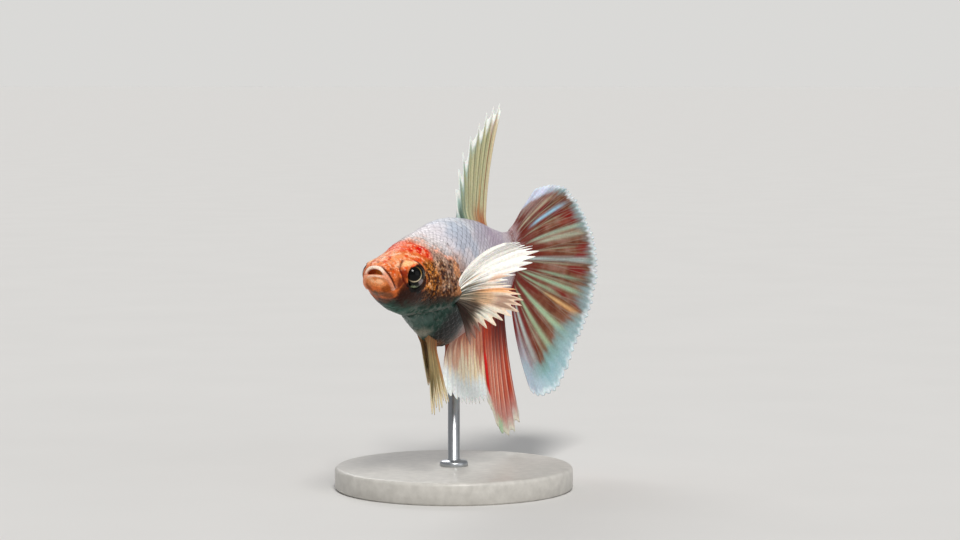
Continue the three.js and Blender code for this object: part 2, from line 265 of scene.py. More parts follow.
def tinted(name, speckle_scale, speckle, bump_scale, bump, rough, **values):
    """Colour from the piece's own tint with fine speckles, uneven gloss and a fine relief."""
    material, tree, shader = new_material(name, **values)
    own = add_node(tree, "ShaderNodeVertexColor", layer_name="tint")
    share = ramp_node(tree, noise_node(tree, speckle_scale, 6), 1 - speckle, 1 + speckle)
    mixer = add_node(tree, "ShaderNodeMix", data_type="RGBA", blend_type="MULTIPLY")
    mixer.inputs[0].default_value = 1
    tree.links.new(own.outputs["Color"], mixer.inputs[6])
    tree.links.new(share, mixer.inputs[7])
    tree.links.new(mixer.outputs[2], shader.inputs["Base Color"])
    gloss = ramp_node(tree, noise_node(tree, speckle_scale * 0.4, 3), *rough)
    tree.links.new(gloss, shader.inputs["Roughness"])
    height = add_node(tree, "ShaderNodeBump", Strength=0.6, Distance=bump)
    tree.links.new(noise_node(tree, bump_scale, 5), height.inputs["Height"])
    tree.links.new(height.outputs["Normal"], shader.inputs["Normal"])
    return material


def two_toned(name, first, second, scale, detail, rough=None, **values):
    """Two shades mixed by noise; with rough, they are clearer specks and the gloss is uneven."""
    material, tree, shader = new_material(name, **values)
    share = specks = noise_node(tree, scale, detail)
    if rough:
        share = ramp_node(tree, specks, 0, 1)
        tree.links.new(ramp_node(tree, specks, *rough), shader.inputs["Roughness"])
    tree.links.new(mix_node(tree, rgb(first), rgb(second), share), shader.inputs["Base Color"])
    return material


SKIN = tinted(
    "fish_skin", 5000, 0.22, 3500, 0.00006, (0.3, 0.46),
    Coat_Weight=0.045, Coat_Roughness=0.14, Specular_IOR_Level=0.06,
    Subsurface_Weight=0.04, Subsurface_Scale=0.0004,
)
SCALE = tinted(
    "fish_scales", 4200, 0.12, 2500, 0.00003, (0.25, 0.42),
    Coat_Weight=0.05, Coat_Roughness=0.15, Specular_IOR_Level=0.06,
)
FIN = tinted(
    "fin_membrane", 3200, 0.1, 2600, 0.00003, (0.38, 0.55),
    Subsurface_Weight=0.1, Subsurface_Scale=0.0005, Specular_IOR_Level=0.15,
)
EYE = tinted(
    "wet_eye", 6000, 0.1, 900, 0.000002, (0.1, 0.16),
    Coat_Weight=0.16, Coat_Roughness=0.03, Specular_IOR_Level=0.08,
)


# ---- Body shape ---------------------------------------------------------------------------

BODY_LENGTH = 45
# Distance from the snout, height of the back and of the belly, half width, height of the widest
# point, and how keeled the lower half is, 1 being round.
STATIONS = np.array((
    (0.0, 1.35, -2.3, 2.2, -0.5, 1),
    (0.9, 1.55, -2.8, 2.45, -0.6, 1),
    (1.9, 1.45, -3.2, 2.5, -0.75, 1),
    (3.2, 1.8, -4.1, 2.9, -0.9, 1),
    (6.0, 2.45, -5.5, 3.5, -1.2, 1.1),
    (9.5, 3.5, -6.5, 4.05, -1.8, 1.7),
    (15.0, 4.7, -10.1, 4.6, -2.5, 2),
    (20.0, 5.7, -11.3, 4.4, -2.6, 1.7),
    (26.0, 5.65, -10.4, 3.65, -2.3, 1.4),
    (32.0, 4.9, -8.8, 2.7, -1.8, 1.2),
    (38.0, 3.5, -6.8, 1.8, -1.3, 1.1),
    (42.0, 2.9, -5.5, 1.25, -1.1, 1),
    (45.0, 3.1, -5.3, 0.6, -1.1, 1),
))
SNOUT_ROUND = 1.5
SNOUT_PUSH = 0.35
SNOUT_TIP_HEIGHT = 0.15
SKIN_DEPTH = 0.12  # how far the skin lies inside the solids, for the scales over it
COLUMNS = 240
TAIL_ROOT_TOP, TAIL_ROOT_HEIGHT = 2.9, 8
TAIL_END_STEPS = (0.2, 0.4, 0.58, 0.74, 0.87, 0.95, 0.99)


def station_curve(column):
    x, y = STATIONS[:, 0], STATIONS[:, column]
    step = np.diff(x)
    rise = np.diff(y) / step
    inner = (rise[:-1] * step[1:] + rise[1:] * step[:-1]) / (step[:-1] + step[1:])
    slope = np.concatenate((rise[:1], inner, rise[-1:]))

    def read(s):
        at = np.clip(s, 0, BODY_LENGTH)
        i = np.clip(np.searchsorted(x, at, side="right") - 1, 0, len(x) - 2)
        t = (at - x[i]) / step[i]
        level = y[i] + (y[i + 1] - y[i]) * t * t * (3 - 2 * t)
        return level + step[i] * t * (1 - t) * (slope[i] * (1 - t) - slope[i + 1] * t)
    return read


back_height, belly_height, half_width, widest_height, keel = map(station_curve, range(1, 6))


def body_point(s, angle):
    ahead = np.clip(1 - s / SNOUT_ROUND, 0, 1)
    rounded = np.sqrt(1 - ahead ** 2)
    middle = SNOUT_TIP_HEIGHT + (widest_height(s) - SNOUT_TIP_HEIGHT) * rounded
    up, across = np.sin(angle), np.cos(angle)
    reach = np.where(up > 0, back_height(s) - widest_height(s), widest_height(s) - belly_height(s))
    bulge = np.sign(across) * np.abs(across) ** np.where(up > 0, 1, keel(s))
    return np.stack((
        s - SNOUT_PUSH * (1 - rounded) + 0 * angle,
        -half_width(s) * rounded * bulge,
        middle + reach * rounded * up,
    ), axis=-1)


def body_rings():
    """Rings of evenly spaced points round the body, from the back down its left side."""
    turn = np.linspace(0, np.pi / 2, 57)[1:]
    distances = np.concatenate((
        SNOUT_ROUND * (1 - np.cos(turn)),
        np.arange(1.575, 7, 0.075),
        np.arange(7, 18, 0.1),
        np.linspace(18, BODY_LENGTH, 110),
    ))
    angles = np.radians(90 - np.linspace(0, 360, 961))
    share = np.arange(COLUMNS) / COLUMNS
    rings = []
    for s in distances:
        dense = body_point(np.full_like(angles, s), angles)
        along = np.concatenate(((0,), np.cumsum(distance(dense[1:], dense[:-1]))))
        ring = np.stack([np.interp(share * along[-1], along, axis) for axis in dense.T], axis=1)
        softened = ring
        for _ in range(8):
            softened = (np.roll(softened, 1, 0) + 2 * softened + np.roll(softened, -1, 0)) / 4
        rings.append(ring + (softened - ring) * smooth(8, 11, s))
    last = rings[-1]
    down = np.clip((TAIL_ROOT_TOP - last[:, 2]) / TAIL_ROOT_HEIGHT, 0, 1)
    for t in TAIL_END_STEPS:
        ring = last.copy()
        ring[:, 0] += t * (0.25 + 0.7 * np.sin(np.pi * down))
        ring[:, 1] *= math.sqrt(1 - t * t)
        rings.append(ring)
    return distances, np.array(rings)


def grid_normals(grid, wrap=True):
    across = np.roll(grid, -1, 1) - np.roll(grid, 1, 1) if wrap else np.gradient(grid, axis=1)
    normal = np.cross(across, np.gradient(grid, axis=0))
    return normal / np.maximum(np.linalg.norm(normal, axis=-1, keepdims=True), 1e-9)


def outward_normals(rings):
    """Normals of rings round the body, away from its middle plane."""
    normals = grid_normals(rings)
    return normals * np.sign(np.sum(normals[100, :, 1] * rings[100, :, 1]))


ring_distances, rings = body_rings()
ring_normals = outward_normals(rings)
rings = rings - ring_normals * SKIN_DEPTH


def mirrored(points):
    """Points as distance back, distance off the middle plane, and height."""
    return (points * np.where(points[..., 1:2] < 0, (1, -1, 1), (1, 1, 1))).view(Field)


body_cloud = mirrored(rings).reshape(-1, 3)


def nearest(points, line):
    """Distance to a chain of points, the nearest link's number and the place along that link."""
    best = np.full(points.shape[:-1], 99.0)
    link = np.zeros(best.shape, int)
    share = np.zeros(best.shape)
    for k, (start, step) in enumerate(zip(line, np.diff(line, axis=0))):
        t = np.clip((points - start) @ step / (step @ step), 0, 1)
        apart = distance(points, start + t[..., None] * step)
        closer = apart < best
        link, share = np.where(closer, k, link), np.where(closer, t, share)
        best = np.minimum(apart, best)
    return best, link, share


def stroke(points, path):
    """How far points are from a smooth path on the skin, and how far along it, from 0 to 1."""
    path = np.array([body_cloud[np.argmin(distance(body_cloud, p))] for p in path])
    u = np.linspace(0, 1, (len(path) - 1) * 6 + 1)
    best, link, share = nearest(points, np.stack([curve(v, u) for v in path.T], axis=1))
    return best.view(Field), ((link + share) / (len(u) - 1)).view(Field)


def line_offset(x, z, line):
    """Signed distance to a line in the side view: positive ahead of it or above it."""
    u = np.linspace(0, 1, (len(line) - 1) * 5 + 1)
    line = np.stack([curve(v, u) for v in zip(*line)], axis=1)
    points = np.stack((x, z), axis=-1)
    best, link, _ = nearest(points, line)
    step, offset = np.diff(line, axis=0)[link], points - line[link]
    behind = step[..., 0] * offset[..., 1] - step[..., 1] * offset[..., 0] >= 0
    return np.where(behind, -best, best).view(Field)


# Lines and places on the left side as distance back, distance off the middle plane and height.
UPPER_LIP = ((-0.2, 0, 0.74), (-0.05, 0.5, 0.66), (0.05, 0.86, 0.4), (0.15, 1.18, 0.0),
             (0.35, 1.58, -0.55), (0.65, 1.9, -1.15), (1.2, 2.1, -1.85), (1.7, 2.1, -2.3))
LIP_CREASE = ((0.1, 0, 1.12), (0.25, 0.86, 0.88), (0.3, 1.36, 0.38), (0.43, 1.78, -0.2),
              (0.89, 2.2, -1.1), (1.5, 2.25, -1.8), (2.2, 2.1, -2.5))
LOWER_LIP = ((-0.3, 0, -0.52), (-0.12, 0.6, -0.56), (0.05, 1.0, -0.62), (0.25, 1.4, -0.9))
ORBIT_CREASE = ((3.7, 2.75, -1.9), (3.0, 2.7, -1.2), (2.7, 2.6, -0.4), (2.72, 2.42, 0.3),
                (3.3, 2.3, 0.95), (4.3, 2.07, 1.4))
CHIN = (0.2, 0.3, -1.5)
LIP_END = (1.75, 2.1, -2.25)
# Each nostril's place, and the sizes of its hollow and of the dark in it.
NOSTRILS = (((1.0, 1.95, 0.5), 0.16, 0.2), ((3.0, 1.9, 1.2), 0.13, 0.16))
# Lines in the side view as distance back and height.
GILL_EDGE = ((12.6, 9), (13.8, 4.8), (15.2, 2.8), (16.5, 0.2), (17.0, -2.3), (16.3, -4.2),
             (14.4, -5.3), (11, -5.9), (7.6, -6.6), (5.8, -9))
CHEEK_EDGE = ((12.4, 2.6), (11.2, 1.7), (9.9, -0.4), (9.4, -2.6), (9.9, -4.2), (12, -4.9))
EYE_BESIDE = EYE_CENTRE * (1, -1, 1)
LID_CENTRE = EYE_BESIDE + (0.12, 0.07, -0.14)
LID_AXIS = np.array((-0.56, 0.83, -0.04))
LID_AXIS /= np.linalg.norm(LID_AXIS)
LID_RADIUS = EYE_RADIUS + 0.1
LID_BLEND = 0.2
LID_FLATNESS = 1.05
EYE_OPENING = 1.48
MOUTH_HALF_WIDTH = 1.05
MOUTH_FLOOR, MOUTH_RISE = -0.34, 0.72
MOUTH_DEPTH = 0.45


def mouth_opening(p):
    """1 inside the parted lips and 0 outside, an arch on the front of the snout."""
    arch = 0.5 * MOUTH_RISE * np.sqrt(np.clip(1 - (p[..., 1] / MOUTH_HALF_WIDTH) ** 2, 1e-4, 1))
    return smooth(1.15, 0.75, np.abs(p[..., 2] - MOUTH_FLOOR - arch) / arch) * (p[..., 0] < 1)


def eye_distance(p):
    """Distance from the axis of the eye's opening, on its own side."""
    from_eye = p - EYE_BESIDE
    apart = np.linalg.norm(from_eye, axis=-1, keepdims=True)
    offset = EYE_BESIDE + from_eye * np.maximum(1, LID_RADIUS / apart) - LID_CENTRE
    depth = offset @ LID_AXIS
    flat = (offset - depth[..., None] * LID_AXIS) * (1, 1, LID_FLATNESS)
    return np.where(depth > 0, np.linalg.norm(flat, axis=-1), 9).view(Field)


def wrap_lids(points, eye):
    """Lifts skin that would cut into an eyeball, outside its opening, to lie over it as a lid."""
    centre = EYE_CENTRE * np.where(points[..., 1:2] < 0, (1, 1, 1), (1, -1, 1))
    from_eye = points - centre
    apart = np.linalg.norm(from_eye, axis=-1)
    lifted = 0.5 * (apart + LID_RADIUS + np.hypot(apart - LID_RADIUS, LID_BLEND))
    share = eye(EYE_OPENING - 0.05, EYE_OPENING + 0.15) * smooth(3.4, 2.6, apart)
    return centre + from_eye * (1 + (lifted / apart - 1) * share)[..., None]


class Marks:
    """What the relief and the colours of the skin are worked out from, at given points."""

    def __init__(self, points):
        self.points = points.view(Field)
        self.p = mirrored(points)
        self.x, self.side, self.z = (self.p[..., k] for k in range(3))
        self.lip, self.lip_along = stroke(self.p, UPPER_LIP)
        self.crease, self.crease_along = stroke(self.p, LIP_CREASE)
        self.lower_lip, _ = stroke(self.p, LOWER_LIP)
        self.orbit, _ = stroke(self.p, ORBIT_CREASE)
        self.mouth = mouth_opening(self.p)
        self.eye = eye_distance(self.p)
        self.gill = line_offset(self.x, self.z, GILL_EDGE)
        self.cheek = line_offset(self.x, self.z, CHEEK_EDGE)


def skin_relief(m):
    """Height of the skin over its plain shape."""
    h = -0.16 * m.x(2.4, 0.8)
    h += (0.34 - 0.14 * m.lip_along) * bell(m.lip, 0.36 - 0.1 * m.lip_along)
    h += 0.2 * bell(m.lower_lip, 0.2)
    h += 0.16 * bell(distance(m.p, CHIN), 1.0)
    h += 0.12 * bell(distance(m.p, LIP_END), 0.25)
    deep = 0.06 + 0.2 * m.crease_along(0.1, 0.4) * m.crease_along(1.02, 0.85)
    h -= deep * bell(m.crease, 0.15)
    lid = (m.p - LID_CENTRE) @ (-0.6, 0, 0.8)
    h += (0.1 + 0.1 * lid(-0.2, 1.2)) * bell(m.eye - 1.95, 0.28)
    h -= m.eye(EYE_OPENING + 0.1, EYE_OPENING - 0.2)
    h -= 0.22 * bell(m.orbit, 0.19)
    h += 0.14 * blob(m.p, (4.2, 2.5, 0.7), (1.1, 1.2, 0.7))
    for place, size, _ in NOSTRILS:
        apart = distance(m.p, place)
        h += 0.03 * bell(apart - 2 * size, size) - 0.2 * bell(apart, size)
    behind = np.clip(-m.gill, 0, None)
    step = 0.06 * bell(m.gill - 0.5, 0.45) - 0.3 * behind(0, 0.16) * np.exp(-behind / 1.6)
    h += step * m.x(5, 8) * m.z(3.3, 1.6)
    h -= 0.1 * bell(m.cheek, 0.2) * m.gill(0.4, 1.6)
    h += 0.3 * blob(m.p, (16.2, 4.4, -3.6), (1.2, 1.5, 1.7))
    head = m.gill(0.2, 1.2)
    h += head * (0.035 * noise(m.points, 1.4, 11) + 0.015 * noise(m.points, 0.35, 12))
    return h + 0.02 * (1 - head) * noise(m.points, 1.0, 13)


# ---- Skin colours -------------------------------------------------------------------------

# Patches of colour on the head: colour, centre, radii and strength.
PATCHES = (
    ("f2a06c", (4.0, 0.4, 2.0), (2.3, 2.0, 1.1), 0.8),
    ("f3a97c", (1.6, 0.6, 1.6), (1.2, 1.4, 0.7), 0.7),
    ("b85a34", (1.2, 2.3, 0.1), (1.0, 0.8, 0.9), 0.7),
    ("f09a68", (0.2, 0.4, -1.3), (1.2, 1.7, 0.85), 0.9),
    # painted highlight on the chin
    ("ffc298", (0.1, 0.5, -1.1), (0.8, 1.0, 0.4), 0.8),
    ("8a4826", (0.9, 1.3, -2.2), (0.9, 0.9, 0.7), 0.8),
    ("6e4c3a", (1.7, 0.6, -3.0), (1.1, 1.3, 0.7), 0.85),
    ("7e5a50", (3.2, 0.6, -3.9), (1.3, 1.4, 0.6), 0.8),
)
# The same for what lies over the blotches: painted shadows round the eye and painted light on its
# raised brow.
EYE_SHADOWS_AND_BROW_LIGHT = (
    ("ffcb96", (4.5, 2.5, 0.95), (1.1, 0.9, 0.5), 0.9),
    ("7d2c14", (3.2, 2.75, -0.3), (0.65, 0.7, 0.65), 0.9),
    ("5a2812", (2.4, 2.65, -1.5), (0.9, 0.9, 0.75), 0.9),
    ("4a2a18", (3.6, 2.75, -2.2), (0.9, 0.9, 0.6), 0.85),
)
# Where the head's colours end, as height and distance back.
HEAD_REAR = ((-9, 13.0), (-5.2, 13.5), (-4.2, 16.2), (-2.5, 17.2), (-1, 16.9), (0.3, 15.6),
             (1.0, 13.8), (1.8, 11.9), (2.4, 11.2), (3.0, 10.1), (3.5, 9.2), (6, 8.0))
# The top of the dark under the eye and of the green throat, as distance back and height.
DARK_TOP = ((2, -3.0), (3, -2.0), (4.5, -1.7), (6, -2.0), (8, -2.6), (10, -3.0), (12, -3.3),
            (15, -3.9), (18, -4.4))
THROAT_TOP = ((0, -2.8), (2, -3.75), (4, -4.5), (6, -4.95), (10, -5.1), (13, -5.0), (15, -4.5),
              (17, -4.3), (20, -6.2), (24, -10))


def over(line, x, z):
    """Height over a line."""
    return z - np.interp(x, *zip(*line))


def body_tint(x, z, broad, fine, finest):
    """Pearl white, bluer along the back and browner at the tail, with painted patches of blue
    sheen.
    """
    return paint(
        np.zeros((*x.shape, 3)),
        ("dfd9df", 1),
        ("ebe5e7", x(19, 12) * z(1, 3)),
        ("e0e5ec", x(16, 20) * z(3.2, 4.6) * 0.8),
        # painted blue sheen in soft patches on the flank
        ("adb9ca", broad(-0.1, 0.6) * x(15, 18) * x(28, 24) * 0.65),
        ("9f98ab", x(24, 28) * z(-1, 3) * 0.6),
        ("b3a0b2", x(29, 34) * x(41, 37) * 0.7),
        ("cbbdc2", x(38.5, 40.5) * 0.75),
        ("946a66", x(41.0, 44.5, 0.9 * fine) * 0.9),
        ("74382e", x(43.8, 45.6, 0.7 * fine) * z(1.5, -1.5) * 0.85),
        ("9a7c72", z(-4.5, -8.5) * x(19, 22) * 0.85),
        ("8a8a9e", finest(0.2, 0.8) * 0.3),
        ("f0ecee", (-finest)(0.3, 0.9, -0.4 * broad) * 0.5),
    )


def paint_throat(tint, m, throat, x, z, broad, fine):
    """Dark sea green under the head, blotched with grey, and nearly black by the pelvic fins, that
    black partly dark skin and partly painted shade.
    """
    grain = noise(m.points, 0.16, 35, 2)
    paint(
        tint,
        ("384f48", 1),
        ("467062", x(11, 6) * broad(-0.5, 0.5) * 0.6),
        ("6c716b", fine(0.05, 0.7, 0.5 * broad + 0.3 * grain) * x(5, 9) * 0.85),
        ("1d2f28", (-fine)(0.05, 0.6, 0.3 * grain) * 0.75),
        ("5f6f69", np.hypot((x - 11.8) / 2.4, (z + 7.1) / 0.9)(1.0, 0.3) * 0.6),
        ("8d8a7e", np.hypot((x - 13.4) / 2.0, z + 8.9)(1.0, 0.3) * 0.85),
        # nearly black beside the pectoral and pelvic fin roots: dark throat skin deepened with
        # painted shade
        ("060704", x(14.4, 16.8, 0.5 * fine) * z(-5.2, -6.6) * 0.97),
        within=throat,
    )
    paint(tint, ("7a5138", z(-9.6, -10.6) * x(14.5, 16) * x(20, 18) * 0.8))


def paint_forehead(tint, m, head, ahead, z, fine, finest):
    """Red blotches on salmon, thickest in a band before the pale nape."""
    spots, spot = cells(m.points * (0.8, 1, 1), 0.62, 41)
    flecks, fleck = cells(m.points * (1, 1, 0.8), 0.36, 44)
    dots, dot = cells(m.points, 0.3, 42)
    top = head * z(-0.6, 0.8)
    band = top * ahead(4.9, 3.6, 0.4 * fine) * ahead(0.0, 0.6)
    loose = ahead(3.9, 5.0)
    paint(
        tint,
        ("dd3c10", band * 0.93),
        ("f7936a", top * spots(0.5, 0.78, 0.25 * fine) * (0.65 - 0.3 * band)),
    )
    paint(
        tint,
        ("cf1c06", spots(0.62, 0.42, 0.3 * finest) * spot(0.2, 0.35) * 0.95),
        ("f9b496", spots(0.66, 0.9, 0.3 * fine) * 0.7),
        ("e8754c", m.side(1.7, 0.6, 0.4 * fine) * 0.75),
        ("f58a5c", flecks(0.5, 0.3, 0.15 * finest) * (fleck > 0.6) * 0.8),
        ("ffd6c2", flecks(0.4, 0.2, 0.1 * finest) * (fleck < 0.16) * 0.85),
        ("9c1a0a", flecks(0.4, 0.25) * (np.abs(fleck - 0.25) < 0.05) * 0.5),
        within=band,
    )
    paint(
        tint,
        ("df4c24", loose * spots(0.5, 0.35, 0.25 * finest) * spot(0.5, 0.65) * 0.8),
        ("fbc9a6", loose * spots(0.62, 0.9, 0.2 * fine) * 0.75),
        ("8e3a1c", spots(0.2, 0.12) * (spot < 0.22) * 0.7),
        ("6b3a1e", dots(0.42, 0.2) * (dot < 0.1) * 0.75),
        ("ffe0c8", dots(0.45, 0.2) * (dot > 0.86) * 0.7),
        within=top,
    )


def paint_cheek(tint, m, head, x, z, broad, fine, finest):
    """Gold behind the eye, dusky mottles on the gill cover, gold at its edge, and dark below,
    partly painted shade.
    """
    grain = noise(m.points, 0.15, 36, 2)
    patchy = noise(m.points, 0.75, 39)
    veins = noise(m.points * (1.2, 1.2, 0.55), 0.8, 43)
    grit = finest + 0.7 * grain
    side = head * x(7.0, 8.2, 0.3 * fine) * z(1.5, 0.4, 0.3 * fine)
    dusky = side * x(10.4, 11.8, 0.6 * fine)
    upper = head * x(9.6, 11.2) * z(-0.8, 0.7, 0.5 * fine)
    edge = head * m.gill(2.3, 1.1, 0.7 * fine) * z(-4.4, -3.4) * z(1.9, 0.8)
    # below the eye: partly the cheek's own dark brown and partly painted shade of the head's
    # underside
    dark = head * over(DARK_TOP, x, z)(0.5, -0.6, 0.5 * fine) * x(2.0, 3.6, 0.5 * fine)
    gold = (-grit)(0.15, 0.55, 0.2 * fine) * (0.4 + 0.5 * x(11.5, 9.5))
    paint(
        tint,
        ("a5632f", side),
        ("7a5340", dusky),
        ("a08a7c", dusky * broad(0.2, 0.7, 0.7 * fine) * x(14.6, 12.8) * 0.8),
        ("b99c8c", upper * 0.9),
        ("5a4236", upper * grit(0.1, 0.5) * 0.8),
        ("e3cdc0", upper * (-grit)(0.15, 0.6) * 0.7),
        ("eba77c", edge * 0.95),
        ("9a4a2a", edge * fine(0.1, 0.6, 0.4 * grain) * 0.8),
        ("23150f", dark * 0.97),
        ("c4a596", dusky * (-veins)(0.05, 0.5) * (1 - 0.9 * dark) * (1 - edge) * 0.75),
    )
    paint(
        tint,
        ("3d2519", patchy(0.1, 0.45, 0.3 * grit) * (0.85 - 0.5 * edge)),
        ("4a2a1c", veins(0.15, 0.4, 0.15 * grit) * (0.85 - 0.6 * edge)),
        ("2c1a12", grit(0.2, 0.55, 0.5 * fine) * (0.85 - 0.35 * edge)),
        ("e08f48", gold * (1 - 0.8 * dark) * (1 - 0.45 * x(11.5, 13) * (1 - edge))),
        ("e6c9a8", (-grit)(0.65, 1.0) * (1 - 0.6 * dark) * 0.7),
        within=np.clip(side + 0.8 * dark * x(7, 9), 0, 1),
    )
    paint(tint, ("65483a", dark * (-grit)(0.3, 0.8) * x(5, 8) * 0.7))


def paint_mouth(tint, m):
    lip = np.exp(-(m.lip / 0.36) ** 4)
    lower = np.exp(-(m.lower_lip / 0.17) ** 4)
    deep = m.crease_along(0.04, 0.3) * m.crease_along(1.0, 0.9)
    paint(
        tint,
        ("f6dfce", lip * m.lip_along(0.7, 0.35)),
        ("eca283", lip * m.lip_along(0.3, 0.6) * 0.9),
        ("e9a183", lip * m.lip(0.2, 0.5) * m.lip_along(0.5, 0.2) * 0.5),
        ("f5cdb4", lower * m.side(1.25, 0.75) * 0.9),
        ("f6e2d8", bell(distance(m.p, LIP_END), 0.28) * 0.9),
        # painted shade in the crease behind the upper lip
        ("46200f", bell(m.crease, 0.16) * deep * 0.95),
        ("8e3f22", m.mouth),
        ("d08a48", m.mouth * m.points[..., 1](0.2, -0.9) * 0.8),
    )


def paint_eye_rim(tint, m, fine, finest):
    """Black skin round the eye, wider behind it and below, with painted shade in the crease round
    the orbit and in the socket.
    """
    rearward = (m.p - LID_CENTRE) @ (0.8, 0, 0.1)
    wide = 0.12 + 0.42 * rearward(-0.7, 0.4) + 0.35 * m.z(-0.6, -1.2, -LID_CENTRE[2])
    ragged = m.eye - EYE_OPENING + 0.14 * fine + 0.1 * finest
    paint(
        tint,
        # painted shade in the crease round the orbit
        ("5a2412", bell(m.orbit, 0.14) * 0.85),
        ("15100e", ragged(wide + 0.12, wide - 0.06) * 0.95),
        # painted shade on the sunken skin in the socket under the lids
        ("15100e", m.eye < EYE_OPENING),
    )


def skin_tint(m):
    warp = 0.35 * np.stack([noise(m.points, 1.1, 20 + k, 2) for k in range(3)], axis=-1)
    w = m.p + warp
    x, side, z = (w[..., k] for k in range(3))
    broad = noise(m.points, 2.6, 31)
    fine = noise(m.points, 0.5, 32)
    finest = noise(m.points, 0.22, 33, 2)
    grit = finest + 0.6 * noise(m.points, 0.13, 37, 2)
    throat = over(THROAT_TOP, x, z)(0.7, -0.5, 0.3 * fine) * x(24, 19)
    ahead = np.interp(z, *zip(*HEAD_REAR)) - x
    head = ahead(-0.5, 0.6, 0.35 * fine)

    tint = body_tint(x, z, broad, fine, finest)
    paint(
        tint,
        ("cfc4be", 0.55),
        ("f3c0aa", noise(m.points, 0.8, 47)(0.0, 0.5) * 0.65),
        ("7b6e69", grit(0.05, 0.5, 0.4 * fine) * 0.75),
        ("f6ad8f", (-fine)(-0.2, 0.4, -0.2 * grit) * ahead(-2.2, -0.4) * 0.85),
        within=ahead(-5.4, -0.8, 0.4 * broad) * (1 - throat) * z(-1.5, 0.5),
    )
    flap = m.gill(-3.4, -1.6) * m.gill(0.1, -0.3) * z(2.4, 1.2) * (1 - throat)
    paint(
        tint,
        ("b9968a", 0.8),
        ("8f7a72", noise(m.points * (1, 1, 0.3), 0.3, 38, 2)(0.1, 0.6) * 0.6),
        within=flap * (0.35 + 0.65 * z(0.8, -1.2)),
    )
    paint(
        tint,
        ("de7646", 1),
        *((colour, blob(w, centre, radii)(0.15, 0.75) * strength)
          for colour, centre, radii, strength in PATCHES),
        within=head,
    )
    paint_forehead(tint, m, head, ahead, z, fine, finest)
    rim = ahead(-1.1, -0.3, 0.3 * fine) * ahead(0.9, 0.1, 0.3 * fine)
    paint(
        tint,
        ("f8d3c6", head * bell(ahead - 0.1, 0.4) * z(1.3, 2.2) * side(0.7, 1.5) * 0.85),
        ("b9705a", rim * side(1.5, 0.8) * z(2, 3) * 0.6),
    )
    paint_cheek(tint, m, head, x, z, broad, fine, finest)
    paint(
        tint,
        *((colour, blob(w, centre, radii)(0.2, 0.75, 0.1 * fine) * strength)
          for colour, centre, radii, strength in EYE_SHADOWS_AND_BROW_LIGHT),
        # dark grey low on the head, partly its own colour and partly painted shade of the underside
        ("3c3833", z(-3.6, -4.4, 0.4 * fine) * x(3.5, 5.0) * 0.9),
        within=head,
    )
    paint_throat(tint, m, throat, x, z, broad, fine)
    paint(
        tint,
        ("7a3820", fine(0.35, 0.75) * 0.6),
        ("f6bca0", (-fine)(0.25, 0.7) * 0.6),
        within=head * x(4.6, 2.8) * z(-0.9, 0.1, 0.5 * side(1.2, 2)),
    )
    for place, _, size in NOSTRILS:
        paint(tint, ("3f1a0e", bell(distance(m.p, place), size) * 0.95))
    paint_mouth(tint, m)
    paint_eye_rim(tint, m, fine, finest)
    # painted shadow along the gill cover's edge, darker lower down
    return paint(tint, ("2a1a12", bell(m.gill, 0.13) * z(4, -3) * x(8, 10) * 0.6))


def make_skin():
    marks = Marks(rings)
    skin = rings + ring_normals * skin_relief(marks)[..., None]
    skin[..., 0] += MOUTH_DEPTH * marks.mouth
    skin = np.asarray(wrap_lids(skin, marks.eye))
    tint = skin_tint(marks)
    points, colours = (
        np.concatenate((grid.reshape(-1, 3), (grid[0].mean(axis=0), grid[-1].mean(axis=0))))
        for grid in (skin, tint)
    )
    index = np.arange(len(points) - 2).reshape(-1, COLUMNS)
    faces = quads(closed(index))
    faces += fan(len(points) - 2, index[0]) + fan(len(points) - 1, index[-1, ::-1])
    add_mesh(
        "body_skin", points, faces, colours, SKIN,
        ("head", "lower_jaw", "gill_cover_left", "gill_cover_right", "trunk", "tail_stem"),
    )
    return skin, tint


skin, skin_colours = make_skin()


# ---- Scales -------------------------------------------------------------------------------

skin_normals = outward_normals(skin[:len(ring_distances)])
PLATE_ROWS, PLATE_COLUMNS = 6, 7
PLATE_THICKNESS = 0.035
SCALE_PITCH = 0.72  # from row to row, in widths of a scale
SCALES_END = 44.2
GIRTH_POINTS = 97


def sample(grid, s, share):
    """Reads a grid over the skin at distances from the snout and shares of the way round."""
    row = np.interp(s, ring_distances, np.arange(len(ring_distances)))
    i = np.clip(row.astype(int), 0, len(ring_distances) - 2)
    column = share % 1 * COLUMNS
    j = column.astype(int) % COLUMNS
    after = (j + 1) % COLUMNS
    t, v = (row - i)[..., None], (column - np.floor(column))[..., None]
    return ((grid[i, j] * (1 - v) + grid[i, after] * v) * (1 - t)
            + (grid[i + 1, j] * (1 - v) + grid[i + 1, after] * v) * t)


